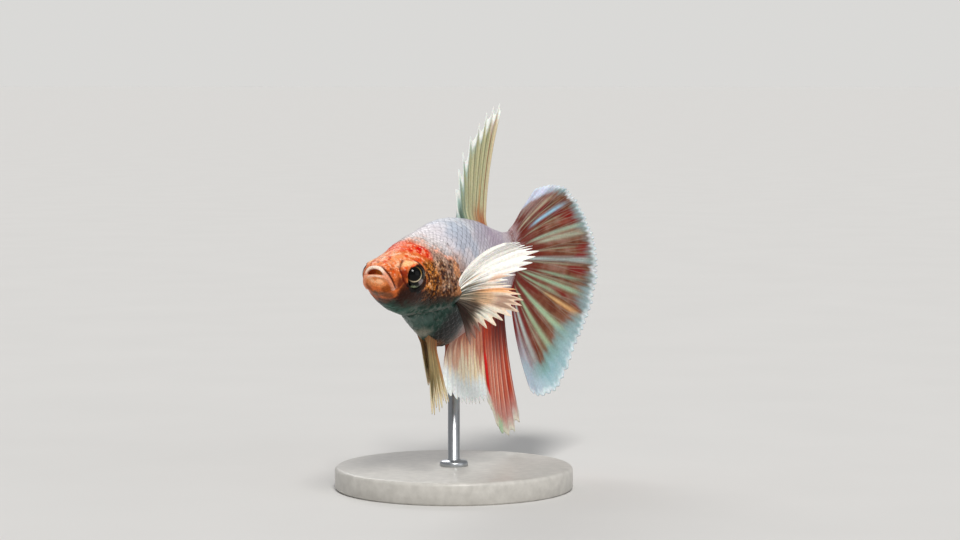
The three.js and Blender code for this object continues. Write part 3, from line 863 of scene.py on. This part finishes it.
def make_scales(name, around, start, lift, rim_and_highlight, keep, seed):
    """Overlapping scales in staggered rows, each a thin closed plate with a round rear edge."""
    rng = np.random.default_rng(seed)
    seeds = []
    s, shift = start, 0.25
    while s < SCALES_END:
        ring = sample(skin, np.full(GIRTH_POINTS, s), np.linspace(0, 1, GIRTH_POINTS))
        girth = np.sum(distance(ring[1:], ring[:-1]))
        size = girth / around
        seeds += [(s, (k + shift) / around, size, girth) for k in range(around)]
        s, shift = s + size * SCALE_PITCH, 1 - shift
    seeds = np.array(seeds)
    seeds[:, 0] += rng.uniform(-0.04, 0.04, len(seeds))
    seeds = seeds[keep(Marks(sample(skin, seeds[:, 0], seeds[:, 1])))]
    s0, w0, size, girth = (seeds[:, k, None, None] for k in range(4))
    a = np.linspace(0, 1, PLATE_ROWS)[None, :, None]
    b = np.linspace(-1, 1, PLATE_COLUMNS)[None, None, :]
    reach = 0.45 + 0.55 * np.sqrt(1 - 0.97 * b * b)
    s_at = np.minimum(s0 + size * (1.75 * a * reach - 0.5), BODY_LENGTH - 0.1)
    w_at = w0 + size / girth * 0.56 * b * (0.75 + 0.25 * np.sin(np.pi * np.clip(a * 1.2, 0, 1)))
    out = sample(skin_normals, s_at, w_at)
    out /= np.linalg.norm(out, axis=-1, keepdims=True)
    tilt = rng.uniform(0.85, 1.15, s0.shape)
    height = lift * tilt * (1.5 * a ** 1.3 - 0.5 + 0.35 * (1 - b * b))
    top = sample(skin, s_at, w_at) + out * height[..., None]
    rim = smooth(0.72, 1.0, a) + smooth(0.75, 1.0, np.abs(b) * smooth(0.3, 0.6, a))
    shade = 1 - rim_and_highlight * np.clip(rim, 0, 1)
    # a painted highlight in the middle of each scale, as strong as half the rim's darkening
    shade = shade * (1 + 0.5 * rim_and_highlight * bell(a - 0.62, 0.2) * bell(b, 0.5))
    shade = shade * (1 + 0.05 * rng.uniform(-1, 1, s0.shape))
    tint = sample(skin_colours, s_at, w_at) * shade[..., None]

    index = np.arange(PLATE_ROWS * PLATE_COLUMNS).reshape(PLATE_ROWS, PLATE_COLUMNS)
    border = np.concatenate((index[0], index[1:, -1], index[-1, -2::-1], index[-2:0:-1, 0]))
    under = index.size + np.arange(len(border))
    plate = quads(index) + quads(closed(np.stack((border, under))).T) + [under.tolist()]
    per_plate = index.size + len(under)
    faces = [[v + n * per_plate for v in face] for n in range(len(seeds)) for face in plate]
    flat, colours, out = (grid.reshape(len(seeds), -1, 3) for grid in (top, tint, out))
    points = np.concatenate((flat, flat[:, border] - out[:, border] * PLATE_THICKNESS), axis=1)
    # the edge and underside of each plate painted darker: painted shade under the scale
    colours = np.concatenate((colours, colours[:, border] * 0.7), axis=1)
    piece = add_mesh(name, points.reshape(-1, 3), faces, colours.reshape(-1, 3), SCALE)

    spread = np.stack(np.broadcast_arrays(b, 2 * a - 1), axis=-1).reshape(-1, 2) * 0.0015
    patch = np.stack((seeds[:, 1] % 1, seeds[:, 0] / (BODY_LENGTH + 1)), axis=-1)
    patch = patch[:, None] + np.concatenate((spread, spread[border]))
    corners = np.empty(len(piece.data.loops), int)
    piece.data.loops.foreach_get("vertex_index", corners)
    layer = piece.data.uv_layers.new(name="OFBake")
    layer.data.foreach_set("uv", np.clip(patch.reshape(-1, 2)[corners], 0, 1).ravel())


make_scales(
    "body_scales", 33, 9.0, 0.04, 0.03,
    lambda m: (m.gill < -0.45 + 0.45 * m.z(2.4, 3.2)) & ((m.z < 2.5) | (m.x > 11.5)), 71,
)
make_scales(
    "cheek_scales", 56, 8.6, 0.035, 0.15,
    lambda m: (m.gill > 0.55 - 0.45 * m.z(2.4, 3.2)) & (m.eye > 2.5) & (m.z > -4.6) & (m.x > 8.4),
    72,
)


# ---- Eyes ---------------------------------------------------------------------------------

GAZE = np.array((-0.78, -0.6, 0.17))
EYE_ROWS, EYE_COLUMNS = 90, 96


def make_eye(side, name):
    """An eyeball with a dark pupil, a thin gold ring and a dark iris, pale at its lower rim, with a
    painted reflection on the iris and painted light on the ring's lower rear side.
    """
    flip = (1, side, 1)
    gaze = GAZE * flip / np.linalg.norm(GAZE)
    across = np.cross(gaze, (0, 0, 1))
    across /= np.linalg.norm(across)
    up = np.cross(across, gaze)
    polar = np.pi * (np.arange(EYE_ROWS) + 0.5) / EYE_ROWS
    turn = 2 * np.pi * np.arange(EYE_COLUMNS) / EYE_COLUMNS
    polar, turn = np.meshgrid(polar, turn, indexing="ij")
    around = np.cos(turn)[..., None] * across + np.sin(turn)[..., None] * up
    ray = np.cos(polar)[..., None] * gaze + np.sin(polar)[..., None] * around
    off = (EYE_RADIUS * np.sin(polar) + (polar > np.pi / 2) * 9).view(Field)
    points = EYE_CENTRE * flip + (EYE_RADIUS + 0.06 * bell(off, 0.9))[..., None] * ray
    streak = noise(np.stack((turn * 9, polar * 2, 0 * turn), axis=-1), 1.0, 51)
    rear = (ray * flip) @ (0.61, -0.79, 0) * EYE_RADIUS
    high = (ray @ up * EYE_RADIUS).view(Field)
    iris = off(0.84, 0.92)
    ring = bell(off - 0.95, 0.05)
    lit = smooth(-0.35, 0.75, (0.86 * rear - 0.5 * high) / np.maximum(off, 0.1))
    glint = bell(rear - 0.95, 0.42) * bell(high + 0.95, 0.4)
    crescent = bell(rear + 0.2, 0.62) * high(-1.38, -1.5, 0.06 * streak)
    tint = paint(
        np.zeros(points.shape),
        ("080807", 1),
        ("1a120e", iris),
        ("3c2c20", iris * streak(0.2, 0.9) * 0.5),
        # painted soft reflection on the iris
        ("97898a", iris * glint(0.35, 0.8, 0.15 * streak) * 0.75),
        ("a7b08e", iris * crescent * 0.95),
        # the ring painted brighter, with a pale painted highlight, on its lower rear side where the
        # light falls
        ("a5834c", ring * (0.15 + 0.75 * lit)),
        ("e2d8bd", ring * high(0.1, -0.5) * lit * 0.9),
    )
    index = np.arange(polar.size).reshape(polar.shape)
    faces = quads(closed(index)) + [index[0].tolist(), index[-1, ::-1].tolist()]
    if side < 0:
        faces = [face[::-1] for face in faces]
    points, tint = points.reshape(-1, 3), tint.reshape(-1, 3)
    add_mesh(name + "_ball", points, faces, tint, EYE, (name,))


make_eye(1, "eye_left")
make_eye(-1, "eye_right")


# ---- Fins ---------------------------------------------------------------------------------
#
# As in the solids, u runs across a fin from its first ray to its last and r along each ray.

def fin_plane(side, spread):
    a = math.radians(spread)
    return (np.array((math.cos(a), -side * math.sin(a), 0)), np.array((0, 0, 1.0)),
            np.array((-math.sin(a), -side * math.cos(a), 0)))


def midline_root(start, length, height, inset):
    def root(u):
        s = start + length * u
        return np.stack((s, 0 * u, height(s) + inset), axis=-1)
    return root


def tail_root(u):
    back = 44.3 + 1.1 * np.sin(np.pi * u)
    return np.stack((back, 0 * u, TAIL_ROOT_TOP - TAIL_ROOT_HEIGHT * u), axis=-1)


def pectoral_root(side):
    return lambda u: np.stack((15.7 + 0.5 * u, -side * (4.35 - 0.4 * u), -2.3 - 2.6 * u), axis=-1)


def pelvic_root(side):
    def root(u):
        s = 14.6 + 2.6 * u
        return np.stack((s, -side * 0.45 + 0 * u, belly_height(s) + 0.9), axis=-1)
    return root


def new_fin(**values):
    """A fin's surface, as in the solids, and its rays and torn margin, with what is usual."""
    usual = dict(
        plane=fin_plane(1, 0), sway=(0, 0), power=1, pleats=0,
        levels=0, fine_notch=0, spike=0.3, fold=0.1,
    )
    return SimpleNamespace(**{**usual, **values})


PECTORAL = dict(pleats=3, rays=14, levels=1, notch=0.5, fine_notch=1.6)
FINS = {
    "dorsal_fin": new_fin(
        root=midline_root(26, 9.3, back_height, -0.5),
        leave=(106, 95, 88, 86, 88), reach=(112, 94, 66, 56, 51),
        length=(3.0, 8.4, 13.4, 17.4, 18.7), sway=(0, -0.5, 0), power=1.5,
        rays=8, notch=2.4, spike=0.24,
    ),
    "anal_fin": new_fin(
        root=midline_root(22.5, 19, belly_height, 0.5),
        leave=(-118, -92, -90, -86, -86, -84), reach=(-84, -92, -88, -74, -72, -64),
        length=(6.7, 8.1, 9.3, 10.2, 11.1, 11.9, 13.0, 16.4, 19.4, 20.6, 19.6),
        sway=(0, 0.65, 0.3, -0.05, 0.6), power=1.7,
        rays=18, notch=1.2, fold=0.12,
    ),
    "caudal_fin": new_fin(
        root=tail_root, leave=(39, 26, 2, -30, -92), reach=(33, 20, -5, -42, -74),
        length=(9.6, 13.3, 15.1, 15.4, 15.1, 14.8, 15.4, 15.9, 15.9, 17.7, 15.2),
        sway=(0.6, 4.0, 7.1, 5.6, 2.4), power=1.6,
        rays=12, levels=2, notch=0.15, fine_notch=0.5, spike=0.42, fold=0.14,
    ),
    "pectoral_fin_left": new_fin(
        root=pectoral_root(1), plane=fin_plane(1, 55),
        leave=(64, 50, 31, 12, -12, -66), reach=(12, 8, 3, -8, -40, -86),
        length=(8.6, 10.2, 11.2, 12.3, 10.3, 7.4, 8.8, 9.4, 7.6, 5.8, 6.6), **PECTORAL,
    ),
    "pectoral_fin_right": new_fin(
        root=pectoral_root(-1), plane=fin_plane(-1, 16),
        leave=(44, 32, 20, 6, -6, -16), reach=(14, 6, 0, -8, -14, -18),
        length=(10.0, 11.0, 9.8, 8.8, 7.4, 6.2), sway=(1.2, 1.2), **PECTORAL,
    ),
    "pelvic_fin_left": new_fin(
        root=pelvic_root(1), plane=fin_plane(1, 20),
        leave=(-88, -86, -82), reach=(-102, -90, -78), length=(10.5, 10.8, 9.9, 9.3, 9.4),
        sway=(1.7, 1.7), rays=4, levels=1, notch=1.7, fine_notch=2.2, fold=0.12,
    ),
    "pelvic_fin_right": new_fin(
        root=pelvic_root(-1), plane=fin_plane(-1, 20),
        leave=(-72, -72, -70), reach=(-84, -80, -76), length=(7.4, 7.2, 6.4),
        sway=(-1.0, -1.0), rays=4, levels=1, notch=1.4, fine_notch=1.6,
    ),
}
PLEAT_DEPTH = 0.35
FIN_ROWS, POINTS_PER_RAY = 70, 16
RAY_WIDTH = 0.09
MEMBRANE, RAY_RELIEF, ROOT_RELIEF = 0.05, 0.085, 0.3  # half thicknesses


def fin_point(fin, u, r):
    leave = np.radians(curve(fin.leave, u))
    turn = np.radians(curve(fin.reach, u)) - leave
    turn = np.where(np.abs(turn) < 1e-4, 1e-4, turn)
    angle = leave + turn * r
    bend = curve(fin.length, u) / turn
    out = curve(fin.sway, u) * r ** fin.power
    out = out + PLEAT_DEPTH * np.sin(2 * np.pi * fin.pleats * u) * r
    back, up, outward = fin.plane
    return (fin.root(u)
            + back * (bend * (np.sin(angle) - np.sin(leave)))[..., None]
            + up * (bend * (np.cos(leave) - np.cos(angle)))[..., None]
            + outward * out[..., None])


def ray_offset(fin, u, r):
    """Distance across the fin to the nearest ray branch and to the ray, in widths of a ray."""
    gap = f = np.abs(u * fin.rays % 1 - 0.5)
    if fin.levels >= 1:
        gap = np.abs(f - 0.25 * smooth(0.25, 0.75, r))
    if fin.levels >= 2:
        gap = np.abs(gap - 0.125 * smooth(0.55, 0.95, r))
    return gap, f


class Shade:
    """Where points lie on a fin: u and r, how much they are on a ray, how far from the margin and
    from the root, their place in a ray's own width (0 on it, 0.5 between two) and in space."""

    def __init__(self, **fields):
        for key, value in fields.items():
            setattr(self, key, value.view(Field))

    def streaks(self, count, seed, stretch=2.0):
        """Noise drawn out along the rays."""
        return noise(np.stack((self.u * count, self.r * stretch, 0 * self.u), axis=-1), 1.0, seed)

    def painted(self, *layers):
        return paint(np.zeros(self.points.shape), *layers)


def make_fin(name, colour):
    fin = FINS[name]
    rng = np.random.default_rng(sum(map(ord, name)))
    columns = fin.rays * POINTS_PER_RAY * 2 ** max(fin.levels - 1, 0) + 1
    u = np.linspace(0, 1, columns)
    length = curve(fin.length, u)
    tip_gap, _ = ray_offset(fin, u, np.ones_like(u))
    branches = 2 ** fin.levels
    tips = fin.rays * branches
    uneven = rng.uniform(0, 1, tips)[np.minimum((u * tips).astype(int), tips - 1)]
    depth = fin.notch * rng.uniform(0.45, 1, fin.rays + 1)
    ends = np.arange(fin.rays + 1.0)
    ends[1:-1] += rng.uniform(-0.22, 0.22, fin.rays - 1)
    lobe = np.minimum(np.interp(u * fin.rays, ends, np.arange(len(ends))), fin.rays - 1e-6)
    cut = curve(depth, u) * (1 - bell(np.abs(lobe % 1 - 0.5), 0.38 if fin.levels else fin.spike))
    cut = cut + fin.fine_notch * (1 - bell(tip_gap * branches, fin.spike))
    cut = cut + 0.25 * (fin.notch + fin.fine_notch) * uneven
    share = 1 - np.clip(cut, 0, None) / length
    r = share[:, None] * np.linspace(0, 1, FIN_ROWS) ** 0.92
    u = np.repeat(u[:, None], FIN_ROWS, axis=1)
    middle = fin_point(fin, u, r)
    normal = grid_normals(middle, wrap=False)
    gap, f = ray_offset(fin, u, r)
    reach = distance(middle, middle[:, :1])
    width = np.linalg.norm(np.gradient(middle, axis=0), axis=-1) * (columns - 1) / fin.rays
    ray = bell(gap * width, RAY_WIDTH)
    edge = (share[:, None] - r) * length[:, None]
    middle = middle + normal * (fin.fold * r * np.cos(2 * np.pi * f))[..., None]
    half = (MEMBRANE + RAY_RELIEF * ray * (1 - 0.45 * r)) * (0.45 + 0.55 * smooth(0, 0.5, edge))
    half = half + ROOT_RELIEF * bell(reach, 0.9)
    tint = colour(Shade(u=u, r=r, ray=ray, edge=edge, cell=f, reach=reach, points=middle))
    layers = np.stack((middle + normal * half[..., None], middle - normal * half[..., None]))
    top, under = np.arange(2 * u.size).reshape(2, columns, FIN_ROWS)
    faces = quads(top) + quads(under.T)
    for side, axis in ((np.s_[:, 0], 0), (np.s_[:, -1], 1), (0, 1), (-1, 0)):
        faces += quads(np.stack((top[side], under[side]), axis=axis))
    facing = np.cross(layers[0, 1, 0] - layers[0, 0, 0], layers[0, 0, 1] - layers[0, 0, 0])
    if facing @ normal[0, 0] < 0:
        faces = [face[::-1] for face in faces]
    colours = np.concatenate((tint, tint)).reshape(-1, 3)
    add_mesh(name + "_sheet", layers.reshape(-1, 3), faces, colours, FIN, (name,))


def dorsal_tint(s):
    """Pale green with dark ray lines, blue-white along its torn front edge."""
    lines = s.streaks(26, 61)
    fine = s.streaks(70, 67, 1.2)
    return s.painted(
        ("b9b894", 1),
        ("d0cda9", lines(0.0, 0.6) * 0.6),
        ("959a78", fine(0.2, 0.7) * 0.6),
        ("5f5a3c", s.cell(0.36, 0.49) * s.r(0.98, 0.75) * 0.8),
        ("857f5c", bell(s.cell, 0.07) * s.r(0.1, 0.3) * s.r(1.0, 0.7) * 0.5),
        ("7d9686", s.u(0.4, 0.1, 0.05 * lines) * 0.85),
        ("4f6055", s.u(0.25, 0.08) * s.r(0.6, 0.15) * 0.85),
        ("a5512e", s.reach(3.4, 1.0, 1.5 * lines) * s.u(0.35, 0.8) * 0.85),
        ("b98a5c", bell(s.u - 0.72, 0.03) * s.r(0.5, 0.2) * 0.6),
        ("8a4f3a", bell(s.u - 0.87, 0.014) * s.r(0.1, 0.3) * s.r(0.95, 0.8) * 0.8),
        ("d6c6a6", s.u(0.9, 0.97) * 0.8),
        ("aac4bc", s.edge(3.0, 1.2, 0.6 * lines) * (0.3 + 0.5 * s.u(0.75, 0.2))),
        ("f6f8f3", s.edge(1.6 + 1.8 * s.u(0.5, 0.8), 0.6, 0.5 * lines) * 0.9),
        ("b5a190", s.u.between(0.82, 0.95) * s.edge(4.5, 2.5) * s.edge(1.0, 2.0) * 0.7),
    )


def anal_tint(s):
    """Cream with red-brown lines and a blue-white margin in front, red with pink rays behind."""
    lines = s.streaks(44, 62)
    fine = s.streaks(110, 68, 1.2)
    line = s.cell(0.37, 0.48)
    # the root dark reaches further out from u 0.38: partly the fin's red root, partly painted shade
    # of the pectoral fin
    deep = 4.8 + 3.6 * s.u(0.38, 0.52)
    root = 0.15 + 0.65 * s.u(0.35, 0.5) + 0.3 * line
    streak = bell(s.u - 0.597 - 0.055 * s.r, 0.017) * s.r(0.35, 0.5) * s.r(0.9, 0.8)
    tint = s.painted(
        ("fff1d6", 1),
        ("fff6e4", s.ray * 0.6),
        ("f2dcae", s.u.between(0.25, 0.6) * lines(0.0, 0.6) * 0.6),
        ("bd8163", line * s.edge(1.4, 4.0) * 0.75),
        ("d97a54", s.reach(4.8, 2.6, 1.8 * lines) * s.u.between(0.1, 0.43, 0.1) * 0.6),
        ("a84a32", s.reach(deep, deep - 3.0, 1.8 * lines) * root),
        ("7c2e1a", s.reach(2.6, 0.8, 0.8 * lines) * 0.7),
        ("f4fafa", s.edge(3.8, 1.8, 0.7 * lines) * 0.95),
        ("e8d2b8", s.edge(1.0, 0.4) * s.ray * 0.6),
    )
    paint(
        tint,
        ("a8402c", s.edge(1.0, 3)),
        ("c87f6a", s.r(0.15, 0.5) * s.u(0.61, 0.68) * s.u(1.0, 0.8) * 0.85),
        ("efc3b0", s.ray ** 0.6 * s.reach(3, 9) * 0.9),
        ("8a2016", line * s.edge(1.5, 4) * 0.75),
        ("8a2418", fine(0.1, 0.7) * s.r(0.6, 0.4) * 0.5),
        # painted shade at the rear of the root, next to the body
        ("42140b", s.reach(11, 4, 1.5 * lines) * s.u(0.64, 0.88) * 0.9),
        ("b98d86", s.r(0.68, 0.84) * (1 - 0.6 * line) * s.u(0.64, 0.76) * 0.75),
        ("c9bdb0", s.edge(2.4, 1.0) * 0.8),
        ("dfdccb", s.edge(1.2, 0.4) * 0.85),
        within=s.u(0.57, 0.61, 0.01 * lines),
    )
    return paint(
        tint,
        ("a5c4a2", bell(s.u - 0.79, 0.035) * s.edge(3.0, 1.2) * 0.85),
        ("cf1410", streak(0.1, 0.8) * 0.92),
    )


# Pale rays of the tail fin: colour, place across it, width, and where they start and end.
CAUDAL_RAYS = (
    ("b9b59c", 0.155, 0.009, 0.15, 0.75), ("96bcd0", 0.243, 0.01, 0.38, 0.82),
    ("9aa896", 0.365, 0.008, 0.3, 0.95), ("a9b3a0", 0.4, 0.01, 0.42, 0.9),
    ("a9bab6", 0.517, 0.01, 0.2, 0.95), ("90a58c", 0.60, 0.006, 0.42, 0.8),
    ("96ad92", 0.645, 0.009, 0.15, 0.85), ("98ad90", 0.685, 0.007, 0.12, 0.6),
    ("dcae78", 0.708, 0.007, 0.55, 0.9), ("9fb798", 0.785, 0.009, 0.1, 0.88),
    ("9bb091", 0.85, 0.008, 0.1, 0.8), ("b1bab4", 0.925, 0.009, 0.15, 0.7),
    ("b5aeb4", 0.965, 0.008, 0.2, 0.8),
)
# Its dark red patches: place across it and place along the rays.
CAUDAL_PATCHES = (
    (0.19, 0.62), (0.275, 0.72), (0.30, 0.84), (0.355, 0.86), (0.46, 0.88), (0.505, 0.84),
    (0.56, 0.8),
)


def caudal_tint(s):
    """Mottled maroon with thin pale rays, and a soft margin from lilac above to sea blue below."""
    lines = s.streaks(40, 63, 3)
    fine = s.streaks(150, 69, 1.5)
    blotch = s.streaks(9, 64, 4)
    mottle = noise(s.points, 1.4, 75) + 0.8 * lines
    top = s.u(0.2, 0.05)
    low = s.u(0.7, 0.93)
    rim = 0.5 + s.u(0.52, 0.66) + 2.9 * low + 2.8 * top + 0.9 * lines
    return s.painted(
        ("76503f", 1),
        ("8f6f64", mottle(0.0, 0.9) * 0.7),
        ("5a2d22", (-mottle)(0.05, 0.8, 0.3 * fine) * 0.65),
        ("a58f86", fine(0.3, 0.9, 0.5 * blotch) * 0.3),
        ("7b2a22", blotch(0.0, 0.6) * s.r(0.3, 0.55) * 0.55),
        ("682415", s.r(0.6, 0.25, 0.08 * lines) * 0.75),
        ("6f1c12", s.u(0.84, 0.92, 0.02 * lines) * s.r(0.65, 0.4) * 0.85),
        *(("72141f", (bell(s.u - u, 0.02) * bell(s.r - r, 0.1))(0.2, 0.6, 0.25 * lines) * 0.9)
          for u, r in CAUDAL_PATCHES),
        ("a29c8c", s.ray * s.r(0.05, 0.3) * 0.3),
        ("a3aa92", bell(s.cell, 0.06) * s.r(0.15, 0.4) * s.r(0.95, 0.6) * 0.5),
        *((pale, bell(s.u - u, 1.25 * width) * s.r.between(start, end, 0.12) * (0.85 + 0.3 * lines))
          for pale, u, width, start, end in CAUDAL_RAYS),
        ("a48f8c", top * s.r(0.25, 0.5, 0.1 * lines) * 0.6),
        ("7f9f9f", s.edge(rim + 1.4, rim - 0.5) * (0.6 + 0.2 * low)),
        ("9cbfc8", s.edge(rim + 0.2, rim - 1.4) * (0.4 + 0.4 * low)),
        ("7fa29c", low * s.edge(rim + 1.2, rim) * s.edge(rim - 2.2, rim - 1.0) * 0.6),
        ("bdd5da", low * s.edge(2.6, 0.8, 0.9 * lines) * 0.55),
        ("b3bccb", s.u(0.9, 0.98) * s.r(0.35, 0.75) * 0.7),
        ("cfd5e8", s.u(0.17, 0.06, 0.02 * lines) * s.edge(rim + 1.6, rim - 0.6) * 0.95),
        ("b39a9c", s.reach(3.4, 0.6, 1.5 * lines) * s.u(0.5, 0.25) * 0.85),
        ("e4eef2", s.edge(1.0, 0.3, 0.3 * lines) * (0.6 + 0.4 * s.ray)),
    )


def pectoral_tint(s):
    """A white upper lobe, a salmon fold, brown and cream rays below it, and a streaked root."""
    lines = s.streaks(50, 65, 1.5)
    fine = s.streaks(130, 70, 1.2)
    gap = s.cell(0.3, 0.48)
    low = s.u(0.59, 0.62)
    last = s.u(0.88, 0.91)
    root = s.reach(4.8, 2.4, 1.6 * lines + 1.2 * fine) * lines(-0.5, 0.1)
    return s.painted(
        ("fdf9f2", 1),
        ("dfd8ce", gap * fine(0.1, 0.7) * 0.5),
        # painted shadow line along the middle of the upper lobe
        ("c7c3cc", bell(s.u - 0.13, 0.008) * s.r(0.2, 0.4) * s.r(0.95, 0.7) * 0.7),
        ("f3c79c", s.u.between(0.2, 0.47) * s.r(0.5, 0.25) * lines(-0.2, 0.5) * 0.6),
        ("f2bb98", s.u.between(0.42, 0.48, 0.02) * s.r(0.45, 0.6) * 0.75),
        ("fde9d6", s.u.between(0.49, 0.56, 0.02) * s.r(0.3, 0.5) * 0.9),
        ("dcc0a0", low * 0.7),
        ("f7b27c", s.u.between(0.575, 0.625, 0.012) * s.r(0.2, 0.4) * 0.9),
        ("9c7a69", s.u.between(0.65, 0.755, 0.015) * s.r(0.4, 0.65) * 0.8),
        ("d0a47a", s.u.between(0.6, 0.8) * s.r(0.15, 0.3) * s.r(0.6, 0.45) * 0.7),
        ("f0eddf", s.u.between(0.77, 0.875, 0.02) * s.r(0.35, 0.6) * 0.9),
        ("b7c1b4", s.u.between(0.78, 0.86) * gap * s.r(0.5, 0.7) * 0.6),
        ("8c6f60", low * gap * fine(0.0, 0.6) * 0.6),
        ("5c4a43", last * 0.95),
        ("85746f", last * s.ray * 0.6),
        ("96746a", last * s.r(0.5, 0.8, 0.1 * lines) * 0.7),
        ("45463a", root * s.u(0.1, 0.35) * 0.9),
        ("6a6a5c", s.reach(3.0, 1.0, 1.6 * lines) * fine(0.0, 0.5) * 0.7),
        ("2a2119", s.reach(4.2, 2.2, 0.9 * lines) * s.u(0.69, 0.82) * 0.9),
        ("fffdf8", s.edge(1.3, 0.4) * s.u(0.55, 0.45) * 0.9),
        ("f6ddc6", s.edge(1.2, 0.4) * low * (1 - last) * 0.7),
    )


def pelvic_tint(s):
    """Cream straps with olive lines and pale free tips."""
    lines = s.streaks(16, 66)
    fine = s.streaks(60, 77, 1.4)
    return s.painted(
        ("8f7d5a", 1),
        ("4c4430", s.cell(0.3, 0.48) * s.edge(2.5, 4) * 0.85),
        ("7c7256", lines(0.0, 0.6) * 0.6),
        ("c2ae84", fine(0.3, 0.8) * 0.5),
        ("b39d72", s.ray * 0.6),
        ("5c543c", s.u(0.4, 0.2) * s.r(0.3, 0.6) * s.r(0.95, 0.8) * 0.9),
        ("b3774c", s.u(0.72, 0.9) * s.r(0.75, 0.4) * 0.8),
        ("7d4e33", s.reach(3.2, 1.0, lines) * 0.7),
        ("ddd0b0", s.edge(2.2, 0.8) * 0.8),
    )


FIN_COLOURS = (dorsal_tint, anal_tint, caudal_tint, pectoral_tint, pectoral_tint, pelvic_tint,
               pelvic_tint)
for name, colour in zip(FINS, FIN_COLOURS):
    make_fin(name, colour)


# ---- Stand, floor and light ---------------------------------------------------------------

def lathe(node, profile, material, sides):
    """A turned piece about the vertical through the origin, from (radius, height) in mm."""
    turn = 2 * np.pi * np.arange(sides) / sides
    rounds = [(radius * math.cos(a), radius * math.sin(a), height)
              for radius, height in profile[1:-1] for a in turn]
    points = np.array([(0, 0, profile[0][1]), *rounds, (0, 0, profile[-1][1])]) - PLACE
    index = np.arange(1, len(points) - 1).reshape(-1, sides)
    faces = quads(closed(index).T) + fan(0, index[0, ::-1]) + fan(len(points) - 1, index[-1])
    add_mesh(node + "_turned", points, faces, np.ones(points.shape), material, (node,))


def make_stand():
    lacquer = two_toned("stand_lacquer", "bdbab4", "cfccc6", 900, 6, (0.42, 0.55),
                        Coat_Weight=0.2, Coat_Roughness=0.2)
    steel = two_toned("rod_steel", "b4b7ba", "bdc0c3", 2500, 3, (0.3, 0.38), Metallic=1.0)
    radius, _, height = np.array(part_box("stand_base")[1]) / MM
    bevel = 0.5
    corner = [(radius - bevel + bevel * math.sin(t), height - bevel + bevel * math.cos(t))
              for t in np.linspace(math.pi / 2, 0, 8)]
    foot = [(0, 0), (radius - 0.3, 0), (radius, 0.3)]
    lathe("stand_base", foot + corner + [(0, height)], lacquer, 128)
    rod, _, top = np.array(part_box("stand_rod")[1]) / MM
    top = top + 0.8
    collar = [(0, height - 0.2), (1.9, height - 0.2), (1.9, height + 0.5), (1.7, height + 0.7),
              (rod + 0.2, height + 0.75), (rod, height + 0.95), (rod, top), (0, top)]
    lathe("stand_rod", collar, steel, 48)


make_stand()


FLOOR_REACH = 40


def make_floor():
    mesh = bpy.data.meshes.new("floor")
    signs = (-1, -1), (1, -1), (1, 1), (-1, 1)
    corners = [(x * FLOOR_REACH, y * FLOOR_REACH, 0) for x, y in signs]
    mesh.from_pydata(corners, [], [(0, 1, 2, 3)])
    mesh.materials.append(two_toned("pale_floor", "d6d5d3", "dbdad8", 40, 3,
                                    Roughness=0.9, Specular_IOR_Level=0.0))
    add_object("floor", mesh)


def add_sun(name, direction, spread, power, colour):
    """A soft studio light from a direction, with its apparent size in degrees."""
    light = bpy.data.lights.new(name, "SUN")
    light.angle = math.radians(spread)
    light.energy = power
    light.color = colour
    add_object(name, light, direction, direction)


make_floor()
add_sun("key", (-0.3, -0.2, 0.4), 16, 2.3, (1.0, 0.98, 0.95))
add_sun("fill", (-0.1, -0.5, 0.16), 40, 0.3, (0.95, 0.97, 1.0))
add_sun("rim", (0.3, 0.25, 0.3), 30, 0.8, (1.0, 1.0, 1.0))


def make_world():
    """A soft grey studio, with a pale band at the horizon that meets the floor."""
    world = bpy.data.worlds.new("studio")
    world.use_nodes = True
    tree = world.node_tree
    place = add_node(tree, "ShaderNodeTexCoord")
    parts = add_node(tree, "ShaderNodeSeparateXYZ")
    tree.links.new(place.outputs["Generated"], parts.inputs["Vector"])
    share = ramp_node(tree, parts.outputs["Z"], 0, 1, 0.03, 0.2)
    sky = mix_node(tree, (0.70, 0.695, 0.68), (0.3, 0.305, 0.315), share)
    tree.links.new(sky, tree.nodes["Background"].inputs["Color"])
    bpy.context.scene.world = world


make_world()
